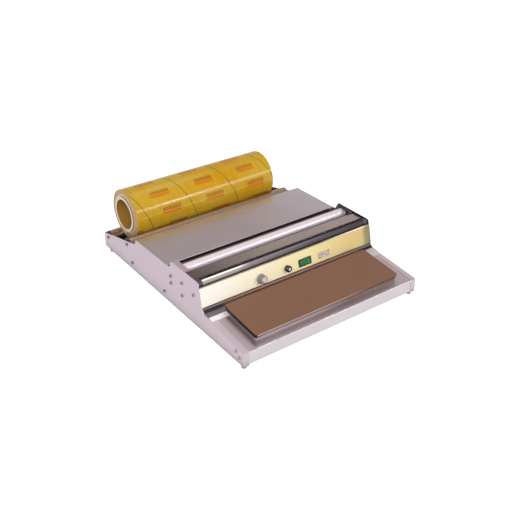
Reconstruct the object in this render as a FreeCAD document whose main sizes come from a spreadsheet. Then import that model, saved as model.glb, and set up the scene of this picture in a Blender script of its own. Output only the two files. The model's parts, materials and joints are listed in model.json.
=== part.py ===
import FreeCAD, Part
import os
import Sketcher

# Cling film wrapping machine: a film roll on two carrier rollers, a wrapping deck, a guide
# roller, a hot cutter rod, a leaning control panel and a heated sealing plate on a front tray.
# Sketch coordinates are y from the front edge and z from the chassis underside, in millimetres.

SIZES = {
    # chassis
    "width": 485,
    "depth": 600,
    "sheet": 1.2,
    "flange": 14,
    "foot_rise": 8,
    "front_rise": 34,
    "tray_rise": 48.4,
    "console_front": 148,
    "face_lean": 14.3,
    "console_rise": 115,
    "console_back": 272,
    "corner_round": 8,
    "deck_front": 300,
    "deck_back": 432,
    "deck_front_rise": 95.5,
    "deck_back_rise": 93,
    "deck_lip": 14,
    "drop_run": 10,
    "drop_rise": 77,
    "rear_rise": 37.5,
    "edge_gap": 0.3,
    "edge_round": 1,
    "fold_round": 1.3,
    "rail_flange": 12,
    "rail_drop": 1,
    "vent_pitch": 12,
    "vent_width": 4,
    "vent_length": 36,
    # console cover
    "toe_front": 115,
    "toe_run": 11,
    "foot_lift": 3.2,
    "cove_round": 13.5,
    "wall_back": 17.5,
    "face_rise": 103,
    "lip_width": 3.4,
    "trough_rise": 98,
    "rest_front": 187,
    "rest_back": 217,
    "rest_rise": 110.5,
    "rest_thick": 1.5,
    "label_thick": 0.8,
    "label_rise": 42.5,
    "label_low": 59.8,
    # film roll and carriers
    "carrier_front_y": 480,
    "carrier_front_z": 58.5,
    "carrier_rear_y": 579.5,
    "carrier_rear_z": 32,
    "carrier_radius": 16,
    "carrier_wall": 1.5,
    "carrier_axle": 5,
    "roll_radius": 62,
    "roll_length": 408,
    "core_radius": 45,
    "core_bore": 38.1,
    "core_length": 416,
    "roll_shift": -3.5,
    "roll_gap": 0.3,
    "running_gap": 0.05,
    "end_gap": 2,
    "plug_length": 16,
    "plug_flange": 2,
    # guide roller and cutter
    "guide_y": 246.5,
    "guide_z": 102.2,
    "guide_radius": 11,
    "guide_wall": 1.5,
    "guide_axle": 4,
    "bracket_thick": 3,
    "bracket_front": 222,
    "bracket_back": 285,
    "bracket_low": 40,
    "bracket_shoulder": 85,
    "bracket_rise": 111,
    "bracket_top_run": 16,
    "cutter_y": 173,
    "cutter_z": 107,
    "cutter_radius": 6.8,
    "cutter_core": 4.5,
    "rod_inset": 1,
    "block_length": 12,
    "block_top": 6,
    # sealing plate
    "plate_width": 400,
    "plate_depth": 114,
    "plate_front": 19,
    "plate_round": 7,
    "standoff_rise": 5,
    "pan_rise": 7,
    "pan_inset": 1.5,
    "plate_thick": 4,
    "cover_thick": 1,
    "heater_thick": 2,
    "mat_gap": 0.5,
    "standoff_radius": 6,
    "standoff_side": 40,
    "standoff_front": 25,
    "standoff_back": 74,
    # controls, placed on the leaning face
    "control_rise": 74.3,
    "knob_x": -86.5,
    "knob_radius": 9.8,
    "knob_skirt": 11.5,
    "knob_rise": 15,
    "knob_gap": 0.5,
    "knob_edge": 1,
    "knob_cap": 4,
    "skirt_rise": 2,
    "flute_radius": 1.2,
    "flute_out": 0.5,
    "pointer_width": 1.4,
    "pointer_depth": 0.8,
    "shaft_radius": 3,
    "shaft_depth": 12,
    "bush_wall": 2.1,
    "thermostat_radius": 13.5,
    "thermostat_depth": 26,
    "fuse_x": -13,
    "fuse_cap_radius": 7.6,
    "fuse_bore": 4.6,
    "fuse_wall": 2,
    "fuse_depth": 32,
    "fuse_flange": 1.2,
    "fuse_nut_width": 3.5,
    "fuse_nut_rise": 4,
    "cap_stem": 8,
    "cap_rise": 9,
    "cap_edge": 2,
    "slot_width": 1.4,
    "glass_radius": 2.6,
    "switch_x": 38.5,
    "switch_width": 36,
    "switch_rise": 18,
    "switch_flange": 1.7,
    "switch_depth": 18,
    "bezel_rise": 1.8,
    "rocker_width": 27,
    "rocker_rise": 13,
    "rocker_tilt": 8,
    "rocker_side_gap": 0.6,
    "rocker_end_gap": 0.3,
    "rocker_crown": 2.6,
    "rocker_dip": 1.2,
    "rocker_keel": 5,
    "rocker_keel_half": 6,
    "rocker_room": 12,
    "pivot_radius": 1.5,
    "pivot_reach": 0.85,
    "louvre_x": 95,
    "louvre_width": 34,
    "louvre_slot": 2,
    "louvre_pitch": 5,
    # electrics bay
    "transformer_inset": 92.5,
    "core_width": 60,
    "core_depth": 30,
    "core_rise": 50,
    "core_limb": 10,
    "coil_thick": 8,
    "coil_gap": 0.3,
    "terminal_inset": 132.5,
    "terminal_width": 60,
    "terminal_depth": 18,
    "terminal_rise": 16,
    "well_radius": 3,
    "well_pitch": 11,
    "well_depth": 7,
    "grommet_y": 200,
    "grommet_z": 26,
    "grommet_radius": 7,
    "grommet_bore": 4,
    "grommet_flange": 2.5,
    "grommet_depth": 9,
    # fasteners and feet
    "screw_radius": 2,
    "screw_gap": 0.1,
    "head_radius": 4,
    "head_rise": 2.2,
    "head_edge": 1.2,
    "screw_length": 6,
    "screw_end": 2,
    "base_screw_inset": 8,
    "bracket_screw_inset": 8,
    "bracket_screw_low": 48,
    "bracket_screw_high": 80,
    "bracket_screw_rear_low": 56,
    "bracket_screw_rear_high": 74,
    "console_screw_inset": 3,
    "console_screw_rise": 74.5,
    "tray_screw_y": 27,
    "tray_screw_z": 25,
    "tray_screw_step": 11,
    "bar_screw_lift": 3,
    "foot_radius": 6.5,
    "foot_taper": 1,
    "foot_well_gap": 0.4,
    "foot_well_extra": 1,
    "foot_inset": 7.5,
    "foot_front": 10,
    "foot_rear": 24,
    "base_screw_front": 45,
    "bar_width": 20,
    "bar_rise": 26,
    "bar_front": 308,
    "bar_gap": 7,
}

doc = FreeCAD.newDocument("WrappingMachine")
sheet = doc.addObject("Spreadsheet::Sheet", "Size")
for row, (alias, value) in enumerate(SIZES.items(), start=1):
    sheet.set(f"A{row}", alias)
    sheet.set(f"B{row}", str(value))
    sheet.setAlias(f"B{row}", alias)
doc.recompute()

# Places that follow from the sizes.
place = doc.addObject("App::VarSet", "Place")


def derive(name, formula):
    place.addProperty("App::PropertyFloat", name, "Place")
    place.setExpression(name, formula)
    doc.recompute()


derive("lean", "tan(Size.face_lean * 1deg)")
derive("slope", "(Size.tray_rise - Size.front_rise) / Size.console_front")
derive("tray_angle", "atan(Place.slope) / 1deg")
derive("inner", "Size.width / 2 - Size.sheet")
derive("floor", "2 * Size.sheet")
derive("shelf_y", "(Size.console_front + (Size.front_rise - Size.sheet + Size.foot_lift"
       " - Size.tray_rise) * lean) / (1 - slope * lean)")
derive("face_top_y", "Size.console_front + (Size.face_rise - Size.tray_rise) * lean")
derive("panel_top_y", "Size.console_front + (Size.console_rise - Size.tray_rise) * lean")
derive("control_y", "Size.console_front + (Size.control_rise - Size.tray_rise) * lean")
derive("bar_rear", "Size.carrier_front_y - Size.carrier_radius - Size.bar_gap")
derive("turn", "90 - Size.face_lean")
derive("deck_slope", "(Size.deck_back_rise - Size.deck_front_rise)"
       " / (Size.deck_back - Size.deck_front)")
derive("span_y", "Size.carrier_rear_y - Size.carrier_front_y")
derive("span_z", "Size.carrier_front_z - Size.carrier_rear_z")
derive("span", "sqrt(span_y * span_y + span_z * span_z)")
derive("reach", "Size.roll_radius + Size.carrier_radius + Size.roll_gap")
derive("lift", "sqrt(reach * reach - span * span / 4)")
derive("roll_y", "(Size.carrier_rear_y + Size.carrier_front_y) / 2 + lift * span_z / span")
derive("roll_z", "(Size.carrier_rear_z + Size.carrier_front_z) / 2 + lift * span_y / span")
derive("mid", "max(Size.depth; roll_y + Size.roll_radius) / 2")


def tray_top(y):
    """Height of the tray's upper surface at a distance y from the front."""
    return f"(Size.front_rise - Size.sheet + Place.slope * ({y}))"


def deck_top(y):
    return f"(Size.deck_front_rise + Place.deck_slope * (({y}) - Size.deck_front))"


def value(formula):
    return float(sheet.evalExpression(str(formula)))


def put(thing, x="0", y="0", z="0", axis=None, angle=None):
    """Place a piece in the row's frame from chassis coordinates, turned about one axis."""
    if axis:
        thing.Placement = FreeCAD.Placement(
            FreeCAD.Vector(), FreeCAD.Rotation(FreeCAD.Vector(*axis), value(angle)))
        thing.setExpression("Placement.Rotation.Angle", str(angle))
    thing.setExpression("Placement.Base.x", str(x))
    thing.setExpression("Placement.Base.y", f"{y} - Place.mid")
    thing.setExpression("Placement.Base.z", f"{z} + Size.foot_rise")
    return thing


def new_body(name):
    body = doc.addObject("PartDesign::Body", name)
    body.Label = name
    return body


def origin_plane(body, role):
    return [item for item in body.Origin.OriginFeatures if item.Role == role][0]


def new_sketch(body, name, role="YZ_Plane", offset=None):
    sketch = body.newObject("Sketcher::SketchObject", name)
    sketch.AttachmentSupport = [(origin_plane(body, role), "")]
    sketch.MapMode = "FlatFace"
    if offset:
        sketch.setExpression("AttachmentOffset.Base.z", str(offset))
    return sketch


def fix_point(sketch, geometry, end, x, y):
    index = sketch.addConstraint(
        Sketcher.Constraint("DistanceX", -1, 1, geometry, end, value(x)))
    sketch.setExpression(f"Constraints[{index}]", str(x))
    index = sketch.addConstraint(
        Sketcher.Constraint("DistanceY", -1, 1, geometry, end, value(y)))
    sketch.setExpression(f"Constraints[{index}]", str(y))


def draw_outline(sketch, points):
    """A closed outline of straight edges through the given pairs of formulas."""
    ends = [FreeCAD.Vector(value(x), value(y), 0) for x, y in points]
    first = sketch.GeometryCount
    count = len(points)
    for index in range(count):
        line = Part.LineSegment(ends[index], ends[(index + 1) % count])
        sketch.addGeometry(line, False)
    for index in range(count):
        following = first + (index + 1) % count
        sketch.addConstraint(
            Sketcher.Constraint("Coincident", first + index, 2, following, 1))
    for index, (x, y) in enumerate(points):
        fix_point(sketch, first + index, 1, x, y)


def draw_circle(sketch, x, y, radius):
    centre = FreeCAD.Vector(value(x), value(y), 0)
    circle = Part.Circle(centre, FreeCAD.Vector(0, 0, 1), value(radius))
    geometry = sketch.addGeometry(circle, False)
    fix_point(sketch, geometry, 3, x, y)
    index = sketch.addConstraint(Sketcher.Constraint("Radius", geometry, value(radius)))
    sketch.setExpression(f"Constraints[{index}]", str(radius))


def draw_rectangle(sketch, x, y, width, height):
    left = f"({x}) - ({width}) / 2"
    right = f"({x}) + ({width}) / 2"
    low = f"({y}) - ({height}) / 2"
    high = f"({y}) + ({height}) / 2"
    draw_outline(sketch, [(left, low), (right, low), (right, high), (left, high)])


def pad(body, sketch, length, both=False, back=False):
    feature = body.newObject("PartDesign::Pad", "Pad")
    feature.Profile = sketch
    feature.Midplane = both
    feature.Reversed = back
    feature.setExpression("Length", str(length))
    return feature


def pocket(body, sketch, length, both=False, back=False):
    before = body.Shape.Volume
    feature = body.newObject("PartDesign::Pocket", "Pocket")
    feature.Profile = sketch
    feature.Midplane = both
    feature.Reversed = back
    feature.setExpression("Length", str(length))
    doc.recompute()
    if body.Shape.Volume >= before:
        raise ValueError(f"{body.Label}: {sketch.Label} cuts nothing")
    return feature


def spin(body, sketch):
    """Turn a sketch in the body's XZ plane about its upright axis."""
    feature = body.newObject("PartDesign::Revolution", "Revolution")
    feature.Profile = sketch
    feature.ReferenceAxis = (sketch, ["V_Axis"])
    feature.Angle = 360
    return feature


def hollow(body, feature, opened, wall):
    """Leave a sheet of the given wall, open at the faces that the test picks."""
    doc.recompute()
    names = [f"Face{index}" for index, face in enumerate(feature.Shape.Faces, start=1)
             if opened(face)]
    shell = body.newObject("PartDesign::Thickness", "Thickness")
    shell.Base = (feature, names)
    shell.Reversed = True
    shell.Join = 1
    shell.setExpression("Value", str(wall))
    return shell


def round_edges(body, feature, chosen, radius):
    doc.recompute()
    names = [f"Edge{index}" for index, edge in enumerate(feature.Shape.Edges, start=1)
             if chosen(edge)]
    fillet = body.newObject("PartDesign::Fillet", "Fillet")
    fillet.Base = (feature, names)
    fillet.setExpression("Radius", str(radius))
    return fillet


def across_at(spots):
    """Picks the edges that run across the machine at the given places of the side view."""
    places = [(value(y), value(z)) for y, z in spots]

    def chosen(edge):
        middle = edge.CenterOfMass
        return abs(edge.tangentAt(edge.FirstParameter).x) > 0.99 and any(
            abs(middle.y - y) < 0.01 and abs(middle.z - z) < 0.01 for y, z in places)

    return chosen


def slab(name, sketch_points, length, both=True):
    """A profile in the side view, drawn out across the machine."""
    body = new_body(name)
    sketch = new_sketch(body, name + "_profile")
    draw_outline(sketch, sketch_points)
    return body, pad(body, sketch, length, both=both)


def ring(name, outer, bore, length, role="YZ_Plane"):
    """A tube or rod about its own origin, drawn both ways from the middle."""
    body = new_body(name)
    sketch = new_sketch(body, name + "_section", role)
    draw_circle(sketch, "0", "0", outer)
    if bore:
        draw_circle(sketch, "0", "0", bore)
    pad(body, sketch, length, both=True)
    return body


def turned(name, points):
    """A turned piece about its own z axis."""
    body = new_body(name)
    sketch = new_sketch(body, name + "_section", "XZ_Plane")
    draw_outline(sketch, points)
    spin(body, sketch)
    return body


def on_face(thing, x, out="0", rise="0"):
    """Place a piece on the leaning face: x across, rise up the face, out from it."""
    lean = "Size.face_lean * 1deg"
    y = f"Place.control_y + ({rise}) * sin({lean}) - ({out}) * cos({lean})"
    z = f"Size.control_rise + ({rise}) * cos({lean}) + ({out}) * sin({lean})"
    return put(thing, x, y, z, (1, 0, 0), "Place.turn")


def on_tray(thing, x="0", along="0", out="0"):
    """Place a piece on the sloping tray, measured from the sealing plate's front edge."""
    tilt = "Place.tray_angle * 1deg"
    y = f"Size.plate_front + ({along}) * cos({tilt}) - ({out}) * sin({tilt})"
    z = f"{tray_top('Size.plate_front')} + ({along}) * sin({tilt}) + ({out}) * cos({tilt})"
    return put(thing, x, y, z, (1, 0, 0), "Place.tray_angle")


# Side screws, by what each one holds, with its place in the side view.
SIDE_SCREWS = {
    "bracket": [
        ("Size.bracket_front + Size.bracket_screw_inset", "Size.bracket_screw_high"),
        ("Size.bracket_front + Size.bracket_screw_inset", "Size.bracket_screw_low"),
        ("Size.bracket_back - Size.bracket_screw_inset", "Size.bracket_screw_rear_high"),
        ("Size.bracket_back - Size.bracket_screw_inset", "Size.bracket_screw_rear_low"),
    ],
    "console": [("Size.rest_front - Size.console_screw_inset", "Size.console_screw_rise")],
    "tray": [
        ("Size.tray_screw_y", "Size.tray_screw_z"),
        ("Size.tray_screw_y - Size.tray_screw_step", "Size.tray_screw_z - Size.tray_screw_step"),
    ],
    "bars": [
        ("Size.bar_front", "Size.bar_rise / 2 + Place.floor + Size.bar_screw_lift"),
        ("Place.bar_rear", "Size.bar_rise / 2 + Place.floor + Size.bar_screw_lift"),
    ],
    "carriers": [
        ("Size.carrier_front_y", "Size.carrier_front_z"),
        ("Size.carrier_rear_y", "Size.carrier_rear_z"),
    ],
}
ALL_SCREWS = [spot for spots in SIDE_SCREWS.values() for spot in spots]
SCREW_HOLE = "Size.screw_radius + Size.screw_gap"
GROMMET_SPOT = ("Size.grommet_y", "Size.grommet_z")
GROMMET_HOLE = "Size.grommet_radius + Size.screw_gap"


def drill(body, role, spots, radius, both=True):
    """Round holes right through a body, or only on the far side of the sketch's plane."""
    doc.recompute()
    sketch = new_sketch(body, body.Label + "_holes", role)
    for x, y in spots:
        draw_circle(sketch, x, y, radius)
    pocket(body, sketch, "Size.width * 2", both=both, back=not both)


def side_holes(body, spots, radius=SCREW_HOLE, both=True):
    """Holes across the machine at places in the side view."""
    drill(body, "YZ_Plane", spots, radius, both)


FOOT_ROWS = ["Size.foot_front", "Size.depth - Size.foot_rear"]
FOOT_SPOTS = [(f"{side} * (Size.width / 2 - Size.foot_inset)", y)
              for side in (-1, 1) for y in FOOT_ROWS]
BASE_ROWS = ["Size.base_screw_front", "Size.bar_front - Size.bar_width",
             "Size.depth - Size.base_screw_front"]
BASE_SPOTS = [(f"{side} * (Size.width / 2 - Size.base_screw_inset)", y)
              for side in (-1, 1) for y in BASE_ROWS]
PLATE_SPOTS = [(f"{side} * (Size.plate_width / 2 - Size.standoff_side)", along)
               for side in (-1, 1)
               for along in ("Size.standoff_front", "Size.standoff_back")]


# Chassis

def side_panel(name, side):
    """A folded side sheet: the stepped outline, with flanges turned inwards along its edges."""
    body = new_body(name)
    back = side > 0
    sketch = new_sketch(body, name + "_outline")
    draw_outline(sketch, [
        ("0", "0"),
        ("0", "Size.front_rise"),
        ("Size.console_front", "Size.tray_rise"),
        ("Place.panel_top_y", "Size.console_rise"),
        ("Size.console_back", "Size.console_rise"),
        ("Size.console_back + Size.drop_run", deck_top("Size.console_back + Size.drop_run")),
        ("Size.deck_back", "Size.deck_back_rise"),
        ("Size.deck_back + Size.drop_run", "Size.drop_rise"),
        ("Size.depth", "Size.rear_rise"),
        ("Size.depth", "0"),
    ])
    plate = pad(body, sketch, "Size.sheet", back=back)
    top_corners = [
        ("Place.panel_top_y", "Size.console_rise"),
        ("Size.console_back", "Size.console_rise"),
    ]
    crowned = round_edges(body, plate, across_at(top_corners), "Size.corner_round")
    inner_corner = [("Size.console_front", "Size.tray_rise")]
    rounded = round_edges(body, crowned, across_at(inner_corner), "Size.cove_round")

    def outer(edge):
        return abs(edge.CenterOfMass.x) < 0.01 and edge.BoundBox.XLength < 0.01

    round_edges(body, rounded, outer, "Size.edge_round")
    thick = "Size.sheet"
    rear = "Size.depth - Size.sheet"
    tray_end = "(Size.toe_front - Size.edge_gap)"
    ledge_front = f"{deck_top('Size.deck_front')} - Size.deck_lip"
    ledge_back = f"{deck_top('Size.deck_back')} - Size.deck_lip"
    top_end = "Size.console_back - Size.corner_round"
    flanges = [
        [("0", "0"), ("Size.depth", "0"), ("Size.depth", thick), ("0", thick)],
        [("0", thick), (thick, thick), (thick, tray_top("0")), ("0", tray_top("0"))],
        [("0", tray_top("0")), (tray_end, tray_top(tray_end)),
         (tray_end, f"{tray_top(tray_end)} + {thick}"), ("0", "Size.front_rise")],
        [("Size.rest_back", f"Size.console_rise - {thick}"),
         (top_end, f"Size.console_rise - {thick}"),
         (top_end, "Size.console_rise"), ("Size.rest_back", "Size.console_rise")],
        [("Size.deck_front", f"{ledge_front} - {thick}"), ("Size.deck_back", f"{ledge_back} - {thick}"),
         ("Size.deck_back", ledge_back), ("Size.deck_front", ledge_front)],
        [(rear, thick), ("Size.depth", thick), ("Size.depth", "Size.rear_rise"),
         (rear, "Size.rear_rise")],
    ]
    for index, points in enumerate(flanges):
        strip = new_sketch(body, f"{name}_flange_{index}", offset=f"{-side} * Size.sheet")
        draw_outline(strip, points)
        pad(body, strip, "Size.flange - Size.sheet", back=back)
    doc.recompute()
    side_holes(body, ALL_SCREWS)
    if side > 0:
        side_holes(body, [GROMMET_SPOT], GROMMET_HOLE)
    floor_screws = new_sketch(body, name + "_floor_screws", "XY_Plane")
    for y in BASE_ROWS:
        draw_circle(floor_screws, f"{-side} * Size.base_screw_inset", y, SCREW_HOLE)
    for y in FOOT_ROWS:
        draw_circle(floor_screws, f"{-side} * Size.foot_inset", y, SCREW_HOLE)
    pocket(body, floor_screws, "Size.sheet * 4", both=True)
    return put(body, f"{side} * Size.width / 2")


def base_plate():
    """The floor sheet, lying on the panels' bottom flanges, with cooling slots under the bay."""
    body = new_body("base_plate")
    sketch = new_sketch(body, "base_outline", "XY_Plane", "Size.sheet")
    draw_rectangle(sketch, "0", "Size.depth / 2", "Place.inner * 2", "Size.depth - 4 * Size.sheet")
    pad(body, sketch, "Size.sheet")
    doc.recompute()
    holes = new_sketch(body, "base_holes", "XY_Plane")
    for x, y in FOOT_SPOTS + BASE_SPOTS:
        draw_circle(holes, x, y, SCREW_HOLE)
    middle = "(Size.console_front + Size.rest_back) / 2"
    for index in range(-2, 3):
        draw_rectangle(holes, f"{index} * Size.vent_pitch", middle, "Size.vent_width",
                       "Size.vent_length")
    pocket(body, holes, "Size.width", both=True)
    return put(body)


def facing(face, y, z):
    """Whether a flat face looks along the given direction in the side view."""
    normal = face.normalAt(0, 0)
    length = (y * y + z * z) ** 0.5
    return (normal.y * y + normal.z * z) / length > 0.999


def base_tray():
    """The front tray: a sloping top with a skirt, folded down at both ends."""
    start = "Size.sheet"
    end = "Size.console_front"
    body, block = slab("base_tray", [
        (start, "Place.floor"),
        (start, tray_top(start)),
        (end, tray_top(end)),
        (end, "Place.floor"),
    ], "Place.inner * 2")
    front_top = value(tray_top(start))

    def front_fold(edge):
        return abs(edge.CenterOfMass.z - front_top) < 0.01 and edge.BoundBox.YLength < 0.01

    folded = round_edges(body, block, front_fold, "Size.fold_round")
    hollow(body, folded, lambda face: facing(face, 0, -1) or facing(face, 1, 0), "Size.sheet")
    side_holes(body, SIDE_SCREWS["tray"])
    holes = new_sketch(body, "tray_holes", "XY_Plane")
    holes.AttachmentOffset = FreeCAD.Placement(
        FreeCAD.Vector(), FreeCAD.Rotation(FreeCAD.Vector(1, 0, 0), value("Place.tray_angle")))
    holes.setExpression("AttachmentOffset.Rotation.Angle", "Place.tray_angle")
    holes.setExpression("AttachmentOffset.Base.y", "Size.plate_front")
    holes.setExpression("AttachmentOffset.Base.z", tray_top("Size.plate_front"))
    for x, along in PLATE_SPOTS:
        draw_circle(holes, x, along, SCREW_HOLE)
    pocket(body, holes, "Size.sheet * 4", both=True)
    return put(body)


def rear_rail():
    """An angle behind the rear carrier, standing on the base plate."""
    rear = "(Size.depth - Size.sheet)"
    body, _ = slab("rear_rail", [
        (f"{rear} - Size.rail_flange", "Place.floor"),
        (rear, "Place.floor"),
        (rear, "Size.rear_rise - Size.rail_drop"),
        (f"{rear} - Size.sheet", "Size.rear_rise - Size.rail_drop"),
        (f"{rear} - Size.sheet", "Place.floor + Size.sheet"),
        (f"{rear} - Size.rail_flange", "Place.floor + Size.sheet"),
    ], "Place.inner * 2")
    return put(body)


def cross_bar(name, y, spot):
    """A channel between the side panels, open underneath."""
    body, block = slab(name, [
        (f"{y} - Size.bar_width / 2", "Place.floor"),
        (f"{y} + Size.bar_width / 2", "Place.floor"),
        (f"{y} + Size.bar_width / 2", "Place.floor + Size.bar_rise"),
        (f"{y} - Size.bar_width / 2", "Place.floor + Size.bar_rise"),
    ], "Place.inner * 2")
    hollow(body, block, lambda face: facing(face, 0, -1), "Size.sheet")
    side_holes(body, [spot])
    return put(body)


def deck_plate():
    """The wrapping deck, folded down on all four sides onto the panels' ledges."""
    front = "Size.deck_front"
    back = "Size.deck_back"
    body, block = slab("deck_plate", [
        (front, f"{deck_top(front)} - Size.deck_lip"),
        (back, f"{deck_top(back)} - Size.deck_lip"),
        (back, deck_top(back)),
        (front, deck_top(front)),
    ], "(Place.inner - Size.edge_gap) * 2")
    slope = value("Place.deck_slope")

    def top_fold(edge):
        middle = edge.CenterOfMass
        return abs(middle.x) < 0.01 and abs(middle.z - value(deck_top(middle.y))) < 0.01

    folded = round_edges(body, block, top_fold, "Size.fold_round")
    hollow(body, folded, lambda face: facing(face, slope, -1), "Size.sheet")
    return put(body)


def console_cover():
    """One folded sheet: foot on the tray, cove, leaning face, rod trough, rest and rear wall."""
    toe = "Size.toe_front"
    foot = "Size.toe_front + Size.toe_run"
    corner = "Place.shelf_y"
    inside = "Place.shelf_y + Size.wall_back"
    lip = "Place.face_top_y + Size.lip_width"
    body, block = slab("console_cover", [
        (toe, tray_top(toe)),
        (foot, f"{tray_top(foot)} + Size.foot_lift"),
        (corner, f"{tray_top(corner)} + Size.foot_lift"),
        ("Place.face_top_y", "Size.face_rise"),
        (lip, "Size.face_rise"),
        (lip, "Size.trough_rise"),
        ("Size.rest_front", "Size.trough_rise"),
        ("Size.rest_front", "Size.rest_rise - Size.rest_thick"),
        ("Size.rest_back", "Size.rest_rise - Size.rest_thick"),
        ("Size.rest_back", "Place.floor"),
        (inside, "Place.floor"),
        (inside, tray_top(inside)),
    ], "Place.inner * 2")
    slope = value("Place.slope")
    cove = [(corner, f"{tray_top(corner)} + Size.foot_lift")]
    crests = [
        (foot, f"{tray_top(foot)} + Size.foot_lift"),
        ("Place.face_top_y", "Size.face_rise"),
        ("Size.rest_front", "Size.rest_rise - Size.rest_thick"),
        ("Size.rest_back", "Size.rest_rise - Size.rest_thick"),
    ]
    coved = round_edges(body, block, across_at(cove), "Size.cove_round")
    folded = round_edges(body, coved, across_at(crests), "Size.fold_round")
    hollow(body, folded, lambda face: facing(face, 0, -1) and face.CenterOfMass.z < 20
           or facing(face, slope, -1) or facing(face, -1, 0) and face.CenterOfMass.z < 40,
           "Size.sheet")
    side_holes(body, SIDE_SCREWS["console"])
    side_holes(body, [GROMMET_SPOT], GROMMET_HOLE, both=False)
    doc.recompute()
    sketch = face_sketch(body, "cover_controls")
    draw_controls(sketch)
    pocket(body, sketch, "4 * Size.sheet", both=True)
    return put(body)


def face_sketch(body, name):
    """A sketch on the leaning face, with its origin at the controls' height."""
    sketch = new_sketch(body, name, "XY_Plane")
    sketch.AttachmentOffset = FreeCAD.Placement(
        FreeCAD.Vector(), FreeCAD.Rotation(FreeCAD.Vector(1, 0, 0), value("Place.turn")))
    sketch.setExpression("AttachmentOffset.Rotation.Angle", "Place.turn")
    sketch.setExpression("AttachmentOffset.Base.y", "Place.control_y")
    sketch.setExpression("AttachmentOffset.Base.z", "Size.control_rise")
    return sketch


def draw_controls(sketch):
    """The holes for the knob's bush and the fuse, the switch cut-out and the louvre slots."""
    draw_circle(sketch, "Size.knob_x", "0", "Size.shaft_radius + Size.bush_wall + Size.screw_gap")
    draw_circle(sketch, "Size.fuse_x", "0", "Size.fuse_bore + Size.fuse_wall + Size.screw_gap")
    rim = "2 * (Size.switch_flange - Size.screw_gap)"
    draw_rectangle(sketch, "Size.switch_x", "0", f"Size.switch_width - {rim}",
                   f"Size.switch_rise - {rim}")
    for index in (-1, 0, 1):
        draw_rectangle(sketch, "Size.louvre_x", f"{index} * Size.louvre_pitch",
                       "Size.louvre_width", "Size.louvre_slot")


def control_panel():
    """The cream front plate on the leaning face, cut out for the controls."""
    body = new_body("control_panel")
    sketch = new_sketch(body, "label_outline", "XY_Plane")
    lean = "cos(Size.face_lean * 1deg)"
    low = f"(Size.label_low - Size.control_rise) / {lean}"
    draw_rectangle(sketch, "0", f"{low} + Size.label_rise / 2",
                   "2 * (Size.width / 2 - Size.edge_gap)", "Size.label_rise")
    pad(body, sketch, "Size.label_thick")
    doc.recompute()
    holes = new_sketch(body, "label_holes", "XY_Plane")
    draw_controls(holes)
    pocket(body, holes, "Size.width", both=True)
    return on_face(body, "0")


def film_rest():
    """The flat rest behind the cutter rod, where the film's free end lies."""
    body = new_body("film_rest")
    sketch = new_sketch(body, "rest_outline", "XY_Plane", "Size.rest_rise - Size.rest_thick")
    draw_rectangle(sketch, "0", "(Size.rest_front + Size.rest_back) / 2",
                   "(Place.inner - Size.edge_gap) * 2", "Size.rest_back - Size.rest_front")
    pad(body, sketch, "Size.rest_thick")
    return put(body)


def roller_bracket(name, side):
    """An inner plate on each side panel that carries the guide roller's axle."""
    body = new_body(name)
    sketch = new_sketch(body, name + "_outline")
    draw_outline(sketch, [
        ("Size.bracket_front", "Size.bracket_low"),
        ("Size.bracket_back", "Size.bracket_low"),
        ("Size.bracket_back", "Size.bracket_shoulder"),
        ("Size.guide_y + Size.bracket_top_run", "Size.bracket_rise"),
        ("Size.bracket_front", "Size.bracket_rise"),
    ])
    pad(body, sketch, "Size.bracket_thick", back=side > 0)
    side_holes(body, SIDE_SCREWS["bracket"])
    side_holes(body, [("Size.guide_y", "Size.guide_z")], "Size.guide_axle")
    return put(body, f"{side} * Place.inner")


# Rollers and film

def end_bores(body, radius, depth):
    """Blind bores in both ends of a rod that spans the panels."""
    doc.recompute()
    for side in (-1, 1):
        sketch = new_sketch(body, f"{body.Label}_bore_{side + 1}",
                            offset=f"{side} * (Place.inner - {depth})")
        draw_circle(sketch, "0", "0", radius)
        pocket(body, sketch, depth, back=side > 0)


def group(name, members):
    """Several solids of one kind, kept together as one sub-part."""
    compound = doc.addObject("Part::Compound", name)
    compound.Label = name
    compound.Links = members
    return compound


def link(master, name):
    copy = doc.addObject("App::Link", name)
    copy.LinkedObject = master
    return copy


def roller(prefix, y, z, radius, wall, axle, end):
    """A tube on two flanged end plugs that turn on a fixed axle; end is where the tube stops."""
    tube = ring(prefix + "_tube", radius, f"{radius} - {wall}", f"2 * ({end})")
    put(tube, "0", y, z)
    master = end_plug(prefix + "_plug", radius, wall, axle)
    pair = []
    for side in (-1, 1):
        copy = link(master, f"{prefix}_plug_{side + 1}")
        pair.append(put(copy, f"{side} * ({end})", y, z, (0, 1, 0), f"{side} * 90"))
    return [tube, group(prefix + "_plugs", pair)]


def end_plug(name, radius, wall, axle):
    """A flanged bush pressed into the end of a roller tube, about its own z axis."""
    bore = f"{axle} + Size.running_gap"
    body_radius = f"{radius} - {wall} - Size.running_gap"
    return turned(name, [
        (bore, "-Size.plug_length"),
        (body_radius, "-Size.plug_length"),
        (body_radius, "0"),
        (f"{radius} - 0.5", "0"),
        (f"{radius} - 0.5", "Size.plug_flange"),
        (bore, "Size.plug_flange"),
    ])


def carrier(prefix, y, z):
    """A carrier roller under the film roll, on an axle screwed between the side panels."""
    end = "Place.inner - Size.end_gap - Size.plug_flange"
    pieces = roller(prefix, y, z, "Size.carrier_radius", "Size.carrier_wall",
                    "Size.carrier_axle", end)
    axle = ring(prefix + "_axle", "Size.carrier_axle", None, "Place.inner * 2")
    end_bores(axle, SCREW_HOLE, "Size.screw_length")
    put(axle, "0", y, z)
    return pieces + [axle]


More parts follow.
